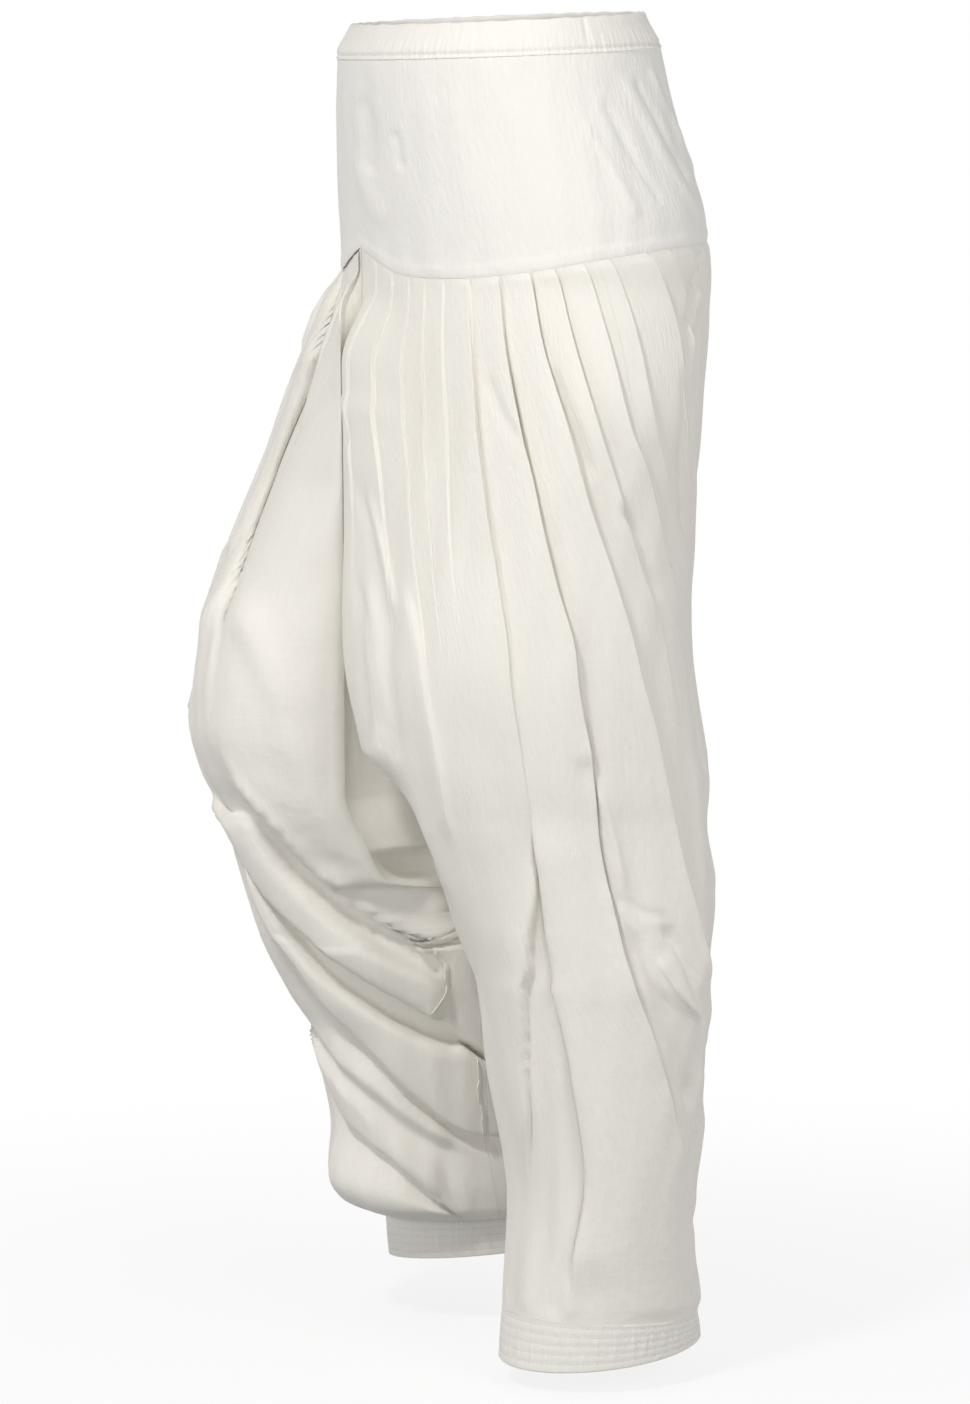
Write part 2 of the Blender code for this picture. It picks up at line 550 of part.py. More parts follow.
def build_leg(name, leg, collection):
    """The front and back panels of one leg, a seam gap apart."""
    places = leg_columns(leg)
    surface = leg_surface(leg, places, leg["levels"])
    surface[0, :, 2] -= SEAM_GAP / 2
    surface[-1, :, 2] += SEAM_GAP / 2
    # both edges stand upright for a few millimetres, to meet yoke and cuff square
    top_band = surface[:1] - (0, 0, SEAM_BAND)
    foot_band = surface[-1:] + (0, 0, SEAM_BAND)
    surface = np.concatenate([surface[:1], top_band, surface[1:-1], foot_band, surface[-1:]])
    levels = np.array([0, 0, *leg["levels"][1:-1], 1, 1])
    # from the front panel's end of the split pleat to the back panel's start
    last = int(np.searchsorted(places, leg["side_seam"]))
    share = (leg["side_seam"] - places[last - 1]) / (places[last] - places[last - 1])
    seam = surface[:, last - 1] * (1 - share) + surface[:, last] * share
    along = surface[:, last] - surface[:, last - 1]
    along /= np.linalg.norm(along, axis=1)[:, None]
    front_edge = seam - along * LEG_SEAM_GAP / 2
    back_edge = seam + along * LEG_SEAM_GAP / 2
    front = np.concatenate([surface[:, :last], front_edge[:, None]], axis=1)
    back = np.concatenate([back_edge[:, None], surface[:, last:]], axis=1)
    # below the crotch the two panels meet again at the inseam
    low = levels > CROTCH_DROP
    front[low, 0, 1] -= LEG_SEAM_GAP / 2
    back[low, -1, 1] += LEG_SEAM_GAP / 2
    for part, rows in (("front", front), ("back", back)):
        if leg["side"] < 0:
            rows = rows[:, ::-1]
        cloth_wall(f"{name}_{part}", rows, False, CLOTH_WALL, LEG_CLOTH, collection)


def build_cuff(name, leg, collection):
    cuff = leg["cuff"]
    turn = np.arange(CUFF_SIDES) * 2 * np.pi / CUFF_SIDES
    rows = []
    for share in np.linspace(0, 1, CUFF_ROWS + 1):
        wide = cuff["half_width"] + share * (cuff["hem_half_width"] - cuff["half_width"])
        deep = cuff["half_depth"] + share * (cuff["hem_half_depth"] - cuff["half_depth"])
        x = leg["side"] * (cuff["centre_x"] + wide * np.cos(turn))
        y = cuff["centre_y"] + deep * np.sin(turn)
        drop = cuff["top_drop"] + SEAM_GAP / 2 + share * cuff["height"]
        z = -drop + cuff["tilt"] * np.sin(turn)
        rows.append(np.stack([x, y, z], -1)[::leg["side"]])
    rows.insert(1, rows[0] - (0, 0, SEAM_BAND))
    return cloth_wall(name, rows, True, CLOTH_WALL, BAND_CLOTH, collection)


def build_pants():
    clear_scene()
    collection = bpy.data.collections.new("patiala_pants")
    bpy.context.scene.collection.children.link(collection)
    build_waistband("waistband_front", True, collection)
    build_waistband("waistband_back", False, collection)
    build_yoke("yoke_front", True, collection)
    build_yoke("yoke_back", False, collection)
    build_leg("left_leg", LEFT, collection)
    build_leg("right_leg", RIGHT, collection)
    build_cuff("left_cuff", LEFT, collection)
    build_cuff("right_cuff", RIGHT, collection)


build_pants()
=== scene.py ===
import bpy
import numpy as np
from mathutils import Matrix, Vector


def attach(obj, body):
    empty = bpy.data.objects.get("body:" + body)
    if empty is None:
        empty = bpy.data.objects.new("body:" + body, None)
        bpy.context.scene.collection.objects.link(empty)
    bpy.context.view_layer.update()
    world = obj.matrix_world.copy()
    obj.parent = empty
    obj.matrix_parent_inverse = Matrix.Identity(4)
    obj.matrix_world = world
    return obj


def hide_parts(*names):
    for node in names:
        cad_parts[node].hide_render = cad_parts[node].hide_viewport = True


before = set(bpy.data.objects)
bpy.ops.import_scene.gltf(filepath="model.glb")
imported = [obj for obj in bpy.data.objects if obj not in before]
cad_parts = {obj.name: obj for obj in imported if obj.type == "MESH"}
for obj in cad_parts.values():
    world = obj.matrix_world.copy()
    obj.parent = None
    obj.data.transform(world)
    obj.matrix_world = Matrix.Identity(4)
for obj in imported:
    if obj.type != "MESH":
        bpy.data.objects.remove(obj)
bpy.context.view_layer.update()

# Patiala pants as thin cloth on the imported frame: metres, +Z up, front -Y, wearer's
# left +X. The legs' rings and courses are those of the solids, with finer folds.

# Thickness of the leg and yoke cloth, and of each layer of casing and cuffs
CLOTH = 0.0009
LAYER = 0.0007
CENTRE_CLEAR = 0.0003
SEAM_GAP = 0.0001

# Heights, as drops below the waist
YOKE_DROP = 0.190
CROTCH_DROP = 0.690
# The top of the casing: its dip all round, its further dip at the front, its height
WAIST_DIP = 0.0062
WAIST_TILT = 0.0048
CASING_HEIGHT = 0.0248

# Tables hold millimetres, and degrees or shares of a ring, seam or height in the columns
# named here. Lengths outside the tables are in metres. A drop is how far something lies
# below the waist, and a level is the drop of the cloth before it is fitted to the yoke
# seam and the cuff
PLAIN_COLUMNS = ("angle", "place", "share", "front", "back", "size", "front_fade",
                 "inner_fade", "profile", "line")

# Body rings, from the waist to the foot of the yoke
BODY_COLUMNS = ("drop", "centre_y", "half_width", "half_depth")
BODY = (
    (0, 0.3, 136, 100), (25, 1, 143, 112), (60, 4, 150, 116.5), (100, 10, 159, 121),
    (150, 18.5, 170, 126.7), (190, 20.9, 175, 126.7),
)

# The yoke seam, by the angle round from the centre front
YOKE_SEAM_COLUMNS = ("angle", "drop")
YOKE_SEAM = (
    (0, 171), (10, 180.4), (20, 188.5), (32, 190), (62, 184), (79, 177), (105, 170), (140, 166),
    (180, 165),
)
# Angles at which yoke and leg edges share a corner, so that the seam stays even
SEAM_CORNERS = (0, 4, 8, 12, 17, 22, 28, 35, 43, 52, 61, 70, 80, 90, 100, 110, 120, 130, 140, 150,
                160, 170, 180)

# Rings of each leg. Above the crotch a ring is open, and ends at the centre seam
LEG_COLUMNS = ("drop", "centre_x", "centre_y", "half_width", "half_depth")
LEFT_RINGS = (
    (150, 0, 18.5, 170, 126.7), (190, 0, 20.9, 175, 126.7), (220, 9, 17.5, 172, 124),
    (280, 28, 8, 165, 118.5), (370, 50, -3.5, 150, 120.3), (460, 75, -13, 130, 124.4),
    (528, 85, -6.7, 118, 126), (553, 87, 6, 114.5, 115), (575, 89, 14, 110, 105),
    (614, 93, 23.5, 105, 95.5), (650, 96.5, 28.5, 102.5, 86.5), (690, 100, 32.5, 100, 80),
    (710, 102, 35.5, 96, 78.5), (755, 106, 35, 88, 78), (858, 110, 36, 75, 66),
    (947, 112, 36, 62, 73.5),
)
RIGHT_RINGS = (
    (150, 0, 18.5, 170, 126.7), (190, 0, 20.9, 175, 126.7), (250, 20, 8, 168, 130),
    (326, 42, -4.5, 155, 139), (394, 60, -23.5, 142, 145), (455, 73, -41.3, 131, 152),
    (500, 81, -51.6, 123, 152), (527, 85, -53.8, 118, 152), (560, 89, -49.9, 113, 147),
    (600, 92, -40.3, 107, 135), (644, 97, -35.8, 103, 123), (690, 100, -30.6, 100, 112),
    (735, 104, -17.7, 93, 101), (765, 106, -7, 88, 95), (800, 108, -2.8, 83, 93),
    (840, 110, 4.3, 79, 91), (880, 111, 7, 77, 95), (898, 112, 12, 74, 92),
    (908, 112, 22, 67.5, 84.5), (915, 112, 31.5, 60, 74),
)
# Depths of the left leg's outer side, which hangs straighter than its front edge, and
# the spans of angle over which they fade into the rings' own
SIDE_COLUMNS = ("drop", "centre_y", "half_depth")
LEFT_SIDE_RINGS = (
    (150, 18.5, 126.7), (190, 20.9, 126.7), (220, 17.5, 124), (280, 8, 118.5), (370, -3.5, 120.3),
    (460, -6.1, 125), (528, 3.9, 126.5), (575, 14.9, 125), (614, 23.6, 119), (650, 29.7, 110),
    (690, 33.8, 99.4), (755, 34, 82.8), (858, 36, 66), (947, 36, 73.5),
)
SIDE_FROM = (-106, -70)
SIDE_UNTIL = (20, 60)

# Depth of the centre seam, front and back, down to the crotch
CENTRE_SEAM_COLUMNS = ("drop", "front_y", "back_y")
CENTRE_SEAM = (
    (150, -108.2, 145.2), (190, -105.8, 147.6), (280, -107, 124), (370, -107, 103),
    (460, -103, 78), (530, -85, 54), (570, -66, 44), (610, -47, 32), (650, -27, 16), (675, -14, 3),
    (690, -5, -5),
)
# Depth of each inseam, from the crotch to the cuff
INSEAM_COLUMNS = ("drop", "seam_y")
LEFT_INSEAM = ((690, -5), (740, 6), (800, 20), (870, 31), (940, 36))
RIGHT_INSEAM = ((690, -5), (720, -9), (760, -6), (800, -2), (840, 4), (900, 17), (925, 32))
# Share of a ring over which its ends turn in to the seams
TURN_IN_COLUMNS = ("drop", "front", "back")
LEFT_TURN_IN = (
    (190, 0.05, 0.05), (300, 0.07, 0.08), (500, 0.1, 0.12), (600, 0.15, 0.18), (645, 0.2, 0.22),
    (690, 0.24, 0.25), (800, 0.25, 0.25),
)
RIGHT_TURN_IN = (
    (190, 0.05, 0.05), (300, 0.09, 0.08), (500, 0.11, 0.12), (600, 0.15, 0.16), (690, 0.22, 0.22),
    (800, 0.25, 0.25),
)

# Course of the cloth: its threads leave the yoke at the shares of its seam in the first
# row, and lie lower down at the shares of the ring in the other rows, after the drop
LEFT_COURSE = (
    (190, 0.126, 0.195, 0.239, 0.292, 0.344, 0.436, 0.561, 0.76),
    (235, 0.133, 0.203, 0.255, 0.31, 0.368, 0.474, 0.615, 0.785),
    (295, 0.153, 0.231, 0.285, 0.353, 0.422, 0.53, 0.665, 0.81),
    (335, 0.183, 0.253, 0.312, 0.387, 0.457, 0.583, 0.7, 0.83),
    (395, 0.222, 0.283, 0.349, 0.426, 0.508, 0.632, 0.745, 0.85),
    (455, 0.262, 0.318, 0.38, 0.461, 0.541, 0.69, 0.77, 0.868),
    (520, 0.282, 0.332, 0.392, 0.469, 0.556, 0.695, 0.775, 0.868),
    (600, 0.287, 0.335, 0.394, 0.46, 0.559, 0.69, 0.77, 0.865),
    (660, 0.276, 0.326, 0.386, 0.465, 0.58, 0.695, 0.77, 0.86),
    (745, 0.265, 0.322, 0.4, 0.513, 0.64, 0.715, 0.78, 0.865),
    (825, 0.258, 0.32, 0.407, 0.576, 0.68, 0.745, 0.8, 0.875),
    (900, 0.25, 0.31, 0.39, 0.648, 0.73, 0.78, 0.82, 0.885),
    (950, 0.245, 0.305, 0.385, 0.68, 0.75, 0.8, 0.84, 0.9),
)
RIGHT_COURSE = (
    (190, 0.07, 0.15, 0.25, 0.35, 0.5, 0.7),
    (235, 0.075, 0.155, 0.26, 0.365, 0.52, 0.71),
    (295, 0.088, 0.175, 0.285, 0.39, 0.54, 0.72),
    (350, 0.115, 0.21, 0.32, 0.42, 0.56, 0.73),
    (400, 0.12, 0.225, 0.335, 0.435, 0.565, 0.73),
    (455, 0.13, 0.24, 0.35, 0.445, 0.57, 0.73),
    (520, 0.14, 0.25, 0.355, 0.45, 0.57, 0.72),
    (600, 0.16, 0.26, 0.36, 0.45, 0.57, 0.71),
    (690, 0.19, 0.28, 0.37, 0.45, 0.56, 0.7),
    (800, 0.2, 0.29, 0.38, 0.46, 0.56, 0.7),
    (920, 0.2, 0.3, 0.39, 0.48, 0.58, 0.71),
)
# Where the front and back panels of a leg meet, as a share of the yoke seam
LEFT_SIDE_SEAM = 0.4595
RIGHT_SIDE_SEAM = 0.470

# Knife pleats: place along the yoke seam, height and overlap of the fold edge, and the
# level at which the pleat has died away
PLEAT_COLUMNS = ("place", "height", "overlap", "ends")
LEFT_PLEATS = (
    (0.045, 2.4, 1.2, 460), (0.087, 3.2, 1.8, 520), (0.126, 2.6, 1.6, 560), (0.159, 2.6, 1.5, 500),
    (0.195, 2.6, 1, 460), (0.239, 6, 2.6, 700), (0.292, 8.5, 3.6, 1450), (0.344, 11, 4.8, 1000),
    (0.386, 10, 4.6, 520), (0.436, 8.5, 3.8, 540), (0.483, 8, 3.6, 440), (0.561, 12.5, 5.4, 420),
    (0.62, 5.5, 2, 600), (0.685, 4.5, 2, 480), (0.75, 6, 2, 680), (0.815, 4.5, 2, 500),
    (0.88, 5.5, 2, 600), (0.94, 4, 1.5, 480),
)
RIGHT_PLEATS = (
    (0.03, 2.5, 1, 300), (0.07, 4.5, 1.5, 360), (0.115, 3, 1.5, 300), (0.16, 3.2, 1.5, 330),
    (0.205, 3.5, 1.5, 380), (0.25, 5, 2, 660), (0.295, 5.5, 2, 520), (0.345, 7.5, 2.5, 800),
    (0.395, 5.5, 2, 500), (0.445, 5.5, 2, 600), (0.495, 5, 2, 460), (0.545, 6, 2, 700),
    (0.6, 5, 2, 500), (0.655, 5.5, 2, 640), (0.71, 5, 2, 500), (0.765, 5.5, 2, 680),
    (0.82, 4.5, 2, 480), (0.88, 5, 2, 580), (0.94, 4, 1.5, 460),
)
# How far along a pleat its cloth falls from the last fold edge, the columns of the cloth
# along it, over what drop it opens, and the groove under a fold edge
PLEAT_FALL = 0.055
PLEAT_PHASES = (0.018, 0.036, 0.055, 0.075, 0.11, 0.17, 0.25, 0.34, 0.44, 0.54, 0.64, 0.73, 0.81,
                0.88, 0.93, 0.97, 0.99, 1.0)
PLEAT_OPENS = 0.11
PLEAT_GROOVE = 0.45
GROOVE_AT = 0.078
GROOVE_WIDTH = 0.032

# Drawn folds: height (a trough is below 0), width on the side of smaller and of larger
# angle, overhang, and a line of (angle, drop) points. Round a leg the angle
# is -90 at the front, 0 at the outer side, 90 at the back and 180 at the inner side
STROKE_COLUMNS = ("height", "before", "after", "slide", "line")
LEFT_STROKES = (
    # tucks beside the long pleats
    (-1.8, 6, 2, 0, ((-41, 255), (-35, 281), (-29, 303))),
    (-3, 3, 7, 0, ((-22, 250), (-16, 283), (-11, 304), (-5, 330))),
    (-5, 3, 8, 0, ((5, 345), (12, 366), (18, 392), (24, 418))),
    (3, 10, 2, 1, ((-84, 340), (-80, 355), (-76, 390), (-71, 430))),
    (-3, 4, 10, 0, ((-90, 330), (-84, 370), (-79, 420), (-77, 480), (-80, 540))),
    (3, 8, 2.5, 1, ((-88, 420), (-84, 470), (-86, 520), (-94, 560))),
    (-2.8, 6, 2, 0, ((-94, 230), (-95, 246), (-94, 272), (-90, 315))),
    (3, 12, 4, 1, ((-68, 400), (-61, 457), (-59, 528), (-63, 594))),
    (2.5, 5, 8, 0, ((-86, 400), (-80, 450), (-80, 500), (-92, 540))),
    (-2.5, 5, 6, 0, ((-92, 400), (-88, 450), (-90, 500), (-104, 540))),
    # seam and creases under the long pleats
    (2.6, 2.6, 2.6, 0, ((-8, 507), (-5, 559), (-4, 591), (-4, 626))),
    (-3, 6, 4, 0, ((-10, 520), (-10, 560), (-11, 600), (-9, 628))),
    (-1.3, 2.6, 2.6, 0, ((-13, 641), (-9, 632), (-4, 627))),
    (-1.4, 2.6, 2.6, 0, ((-4, 627), (2, 638), (8, 641), (13, 644))),
    (1.6, 3, 7, 0, ((-3, 636), (-1, 660), (2, 682), (14, 703), (28, 718))),
    (-4, 5, 6, 0, ((-4, 642), (-3, 672), (4, 712), (18, 750), (36, 790))),
    (3.6, 3, 9, -1.5, ((5, 668), (12, 690), (22, 707), (34, 722))),
    (-4.5, 4, 6, 0, ((8, 645), (17, 672), (25, 697), (34, 720))),
    # back of the leg
    (-3.4, 3, 4, 0, ((44, 172), (38, 182), (34, 196), (31, 212), (30, 230))),
    (2.6, 4, 4, 0, ((40, 196), (36, 214), (34, 240), (35, 270))),
    (-2.2, 3, 4, 0, ((26, 250), (31, 290), (36, 330), (44, 372))),
    (-2, 3, 4, 0, ((38, 350), (46, 376), (55, 392))),
    (-2.2, 3, 4, 0, ((32, 388), (42, 404), (52, 436))),
    (-3, 6, 8, 0, ((38, 420), (50, 470), (58, 520))),
    (3, 8, 10, 0, ((50, 500), (58, 570), (64, 640))),
    (-3, 6, 8, 0, ((46, 740), (58, 790), (72, 850))),
    (3, 8, 10, 0, ((36, 750), (50, 810), (64, 880))),
    (-8, 18, 18, 0, ((60, 560), (100, 650), (170, 720))),
    (6, 18, 18, 0, ((50, 610), (95, 720), (170, 790))),
    (-5, 16, 16, 0, ((70, 700), (100, 790), (150, 860))),
    (4, 16, 16, 0, ((60, 780), (80, 850), (110, 920))),
    # inner side, towards the other leg
    (-6, 16, 16, 0, ((-120, 560), (-150, 630), (-185, 690))),
    (6, 18, 18, 0, ((-110, 600), (-140, 680), (-185, 750))),
)
RIGHT_STROKES = (
    # tucks at the top of the roll, and creases of its flat side
    (2.5, 4, 10, -1, ((-80, 212), (-85, 233), (-88, 255), (-83, 275))),
    (-1.5, 4, 4, 0, ((-82, 272), (-87, 274), (-93, 276))),
    (-3, 6, 4, -1, ((-81, 376), (-77, 392), (-72, 410))),
    (5, 7, 20, -1, ((-93, 418), (-106, 447), (-112, 472), (-118, 505), (-125, 545), (-127, 574),
                    (-131, 602), (-137, 628))),
    (3, 10, 12, 0, ((-104, 300), (-106, 380), (-114, 460), (-124, 520))),
    (-2, 10, 12, 0, ((-98, 330), (-100, 400), (-104, 440))),
    (4, 18, 4, 2, ((-80, 500), (-86, 530), (-89, 560), (-90, 584), (-97, 596))),
    # outer side and back, as on the side that shows
    (-9, 16, 16, 0, ((100, 560), (130, 650), (180, 700))),
    (7, 17, 17, 0, ((80, 610), (115, 700), (180, 760))),
    (-7, 15, 15, 0, ((70, 650), (110, 750), (180, 810))),
    (6, 16, 16, 0, ((75, 730), (115, 810), (170, 860))),
    (-4, 16, 16, 0, ((20, 700), (60, 800), (110, 880))),
    (-4, 18, 18, 0, ((-40, 640), (-20, 760), (20, 860))),
)
# The yoke's, with angles from the centre front, + to the wearer's left
YOKE_STROKES = (
    (2.4, 6, 10, 0, ((108, 45), (116, 85), (126, 125), (138, 155))),
    (-2.4, 5, 6, 0, ((114, 45), (124, 85), (136, 125))),
    (2.2, 7, 8, 0, ((124, 40), (136, 78), (152, 120))),
    (-1.8, 5, 5, 0, ((97, 60), (104, 100), (112, 140))),
    (1.4, 4, 6, 0, ((88, 75), (94, 110), (100, 150))),
    (-1.6, 4, 4, 0, ((22, 85), (23, 100), (24, 115))),
    (-1.8, 12, 12, 0, ((4, 60), (10, 90), (8, 120))),
    (1.4, 10, 10, 0, ((-2, 100), (6, 130), (16, 155))),
    (1.4, 6, 10, 0, ((-112, 45), (-124, 85), (-136, 125))),
    (-1.2, 6, 7, 0, ((-126, 45), (-140, 90), (-152, 130))),
    (-1, 5, 5, 0, ((-60, 70), (-66, 110), (-70, 140))),
)
STROKE_STEPS = 28
STROKE_TAPER = 0.14

# Cowl folds of the right leg, from the highest down: height and downward overhang of
# the cloth on a line of (angle, drop) points, how far below the line it lies, and the
# spans of angle over which it dies away at its front and at its inner end
COWL_COLUMNS = ("height", "overhang", "below", "front_fade", "inner_fade", "line")
COWL_FIRST = ((-113, 584), (-116, 601), (-121, 619), (-128, 637), (-135, 653), (-141, 665),
              (-147, 676), (-153, 684), (-159, 690))
COWL_SECOND_TOP = ((-87, 588), (-91, 592), (-100, 593), (-105, 596), (-110, 610), (-116, 633),
                   (-123, 647), (-129, 662), (-141, 684), (-151, 697), (-160, 706))
COWL_SECOND = ((-86, 597), (-98, 611), (-108, 635), (-118, 655), (-126, 668), (-136, 682),
               (-147, 699), (-162, 722))
COWL_SECOND_LOW = ((-92, 612), (-100, 642), (-108, 661), (-115, 676), (-126, 694), (-139, 714),
                   (-151, 730), (-160, 742))
COWL_WEDGE = ((-101, 650), (-108, 675), (-115, 695), (-124, 713), (-140, 735), (-152, 749),
              (-166, 758), (-180, 761))
COWL_THIRD_EDGE = ((-98, 648), (-101, 660), (-107, 688), (-113, 705), (-118, 717), (-124, 727),
                   (-140, 750), (-152, 763), (-166, 770), (-180, 771))
COWL_THIRD = ((-98, 665), (-101, 680), (-108, 708), (-120, 733), (-138, 758), (-156, 773),
              (-180, 780))
COWL_FOURTH = ((-101, 674), (-105, 699), (-108, 718), (-112, 733), (-118, 756), (-132, 780),
               (-146, 805), (-161, 827), (-170, 836), (-183, 840))
COWL_FIFTH = ((-83, 702), (-86, 740), (-97, 769), (-113, 786), (-131, 805), (-143, 821),
              (-156, 836))
COWL_FIFTH_LOW = ((-112, 800), (-126, 815), (-138, 833), (-155, 848), (-164, 853))
COWL_RIDGE = ((-84, 755), (-92, 790), (-114, 817), (-127, 838), (-142, 859), (-151, 874))
COWL_SIXTH = ((-91, 800), (-97, 816), (-101, 832), (-116, 847), (-126, 855), (-133, 862),
              (-143, 874), (-149, 884), (-154, 891), (-159, 903))
COWL_BLOUSE = ((-92, 880), (-101, 884), (-118, 893), (-135, 895), (-150, 898), (-160, 906))
RIGHT_COWLS = (
    (0, 0, -60, 10, 6, COWL_FIRST), (3, 1, -22, 10, 6, COWL_FIRST),
    (8.5, 4.5, -2, 8, 4, COWL_FIRST), (-7, 0, 3.5, 8, 10, COWL_FIRST),
    (-6, 0, -1, 8, 8, COWL_SECOND_TOP), (4, 0, 4.5, 14, 8, COWL_SECOND_TOP),
    (9, 1, 0, 14, 8, COWL_SECOND), (6, 3.5, 0, 8, 4, COWL_SECOND_LOW),
    (-9, 0, 4.5, 8, 12, COWL_SECOND_LOW), (-11, 0, 0, 5, 12, COWL_WEDGE),
    (-8.5, 0, -4, 8, 14, COWL_THIRD_EDGE), (6, -2, 1, 8, 14, COWL_THIRD_EDGE),
    (9, 0, 2, 10, 14, COWL_THIRD), (5.5, 3, -3, 6, 12, COWL_FOURTH),
    (-5.5, 0, 2, 8, 12, COWL_FOURTH), (6, 0, 0, 12, 10, COWL_FIFTH),
    (-2, 0, 0, 12, 10, COWL_FIFTH_LOW), (6, 0, 0, 12, 10, COWL_RIDGE),
    (3.5, 2, -6, 10, 6, COWL_SIXTH), (-6, 0, 0, 12, 6, COWL_SIXTH), (5.5, 0, 0, 12, 8, COWL_BLOUSE),
    (0, 0, 26, 12, 8, COWL_BLOUSE),
)
# The least drop from one line to the next, and half the span of angle steps that softens
# the lines
COWL_GAP = 0.003
COWL_SOFT = 11

# Rolls and creases that run down a front panel: the height and sideways shift of the
# cloth at some distances from their line, towards the outer side
PROFILE_COLUMNS = ("distance", "height", "shift")
ROLL_PROFILE = ((-30, 0, 0), (-10, -0.8, 0), (-2.6, -2.6, 0.4), (0.4, -3.4, 0.8), (2.2, 1, -3),
                (5, 6.4, -3.6), (10, 10, -2), (20, 12, 0), (40, 12, 0), (65, 7, 0), (100, 0, 0))
CREASE_PROFILE = ((-10, 0, 0), (-2, -1.2, 0), (0.4, -3, 0), (2.4, 0.8, -1.6), (6, 2, -0.6),
                  (16, 0, 0))
SOFT_PROFILE = ((-24, 0, 0), (-11, 1, 0), (0, 3, 0), (8, 0.6, 0), (14, -1.2, 0), (30, 0, 0))
OPENING_PROFILE = ((-20, 0, 0), (-4, -1.4, 0), (-0.2, -4.4, 0.4), (1.4, -1, -2.6),
                   (3.2, 4, -3.2), (8, 5.4, -1.2), (18, 4.4, 0), (50, 0, 0))
FOLD_PROFILE = ((-50, 0, 0), (-20, 2.4, 0), (-6, 5.4, 0.4), (-1.6, 6.2, 2.6), (0.4, 2, 2.8),
                (2.2, -2.2, 0), (6, -2.6, 0), (30, 0, 0))
TROUGH_PROFILE = ((-6, 0, 0), (-1.2, 0.8, 2.6), (0.6, 0, 1.8), (2.2, -3.5, 0), (4.8, -6, 0),
                  (7, -3.5, -2), (9, -0.2, -1.6), (13, 0.8, 0), (24, 0, 0))
CUT_PROFILE = ((-5, 0, 0), (-0.9, 1.2, 2), (0.4, 0.4, 1.6), (1.3, -4.6, 0.4), (2.6, -6.4, 0),
               (4, -3, -1.4), (6, 0.4, -0.8), (10, 0.8, 0), (20, 0, 0))
# Each with its size, the drops over which it begins and ends, its profile, and a line of
# (drop, place along the yoke seam) points
ROLL_COLUMNS = ("size", "starts_over", "ends_over", "profile", "line")
LEFT_ROLLS = (
    # both sides of the long triangle into which the pleat at 0.239 opens
    (1, 50, 40, OPENING_PROFILE, ((555, 0.239), (660, 0.239), (750, 0.239), (850, 0.239),
                                  (925, 0.239))),
    (1, 80, 70, FOLD_PROFILE, ((590, 0.2375), (625, 0.232), (660, 0.222), (712, 0.212),
                               (760, 0.2), (783, 0.195), (817, 0.18), (860, 0.16))),
    # along the long pleats
    (1, 100, 30, TROUGH_PROFILE, ((480, 0.292), (600, 0.292), (700, 0.292), (800, 0.292),
                                  (895, 0.292))),
    (1.1, 100, 20, CUT_PROFILE, ((400, 0.344), (500, 0.344), (600, 0.344), (700, 0.344),
                                 (735, 0.344))),
)
RIGHT_ROLLS = (
    # the roll down the outer edge, and the creases across and beside it
    (1, 30, 120, ROLL_PROFILE, ((185, 0.15), (218, 0.13), (236, 0.1), (254, 0.085), (272, 0.092),
                                (290, 0.1), (308, 0.105), (345, 0.106), (380, 0.103),
                                (398, 0.094), (416, 0.083), (434, 0.075), (452, 0.069),
                                (480, 0.066), (520, 0.066))),
    (0.9, 12, 30, CREASE_PROFILE, ((376, 0.103), (388, 0.109), (400, 0.124), (414, 0.158),
                                   (424, 0.19))),
    (0.8, 30, 40, SOFT_PROFILE, ((425, 0.06), (452, 0.0485), (470, 0.042), (506, 0.035),
                                 (540, 0.0335), (575, 0.031))),
    (0.5, 10, 20, CREASE_PROFILE, ((192, 0.112), (215, 0.108), (245, 0.106))),
    (0.6, 10, 25, CREASE_PROFILE, ((192, 0.066), (215, 0.064), (262, 0.058))),
    (0.5, 10, 20, CREASE_PROFILE, ((192, 0.03), (215, 0.03), (240, 0.034))),
)

# Fold edge of the right leg's drape at the centre front, which overhangs the left leg,
# and how far across the cloth behind that edge lies
DRAPE_COLUMNS = ("drop", "edge_x", "edge_y", "behind_x")
DRAPE = (
    (190, 0, -109, -3), (215, 3, -124.6, -1), (260, 5, -124.6, 0), (350, 8, -124.6, 1),
    (500, 10, -124.6, 2), (545, 10, -124.6, -4), (572, 9.5, -124, -6), (588, 8.8, -119, 6),
    (600, 8.5, -111, 12), (612, 8, -105.5, 13), (617, 7.9, -103.2, -20), (624, 7.8, -99.5, -34),
    (632, 7.4, -93.5, -34), (637, 7, -86, -26), (640, 6.6, -70, -20), (643, 6, -48, -12),
    (652, 5, -34, -6), (664, 3, -25, -3), (680, 0, -15, 0), (690, 0, -6, 0),
)
# Where the drape ends as a share of the seam, over what drop it ends at the crotch, how
# much of the ring it draws along, and the hook under its edge
DRAPE_END = 0.022
DRAPE_ENDS_OVER = 0.035
DRAPE_GRIP = 0.03
DRAPE_HOOK = (-0.003, 0.0025)

# Turned-out seam allowances on the right leg's inner side: how far they stand out and
# lie over, and a line of (angle, drop) points that they follow
RIBBON_COLUMNS = ("stands", "lies", "line")
RIGHT_RIBBONS = (
    (2.2, 3.5, ((-162, 688), (-165, 697), (-168, 707), (-168, 717), (-165, 729), (-159, 741))),
    (3, 3, ((-176, 776), (-178, 790), (-177, 803), (-179, 820), (-178, 838))),
)
RIBBON_STEPS = 60

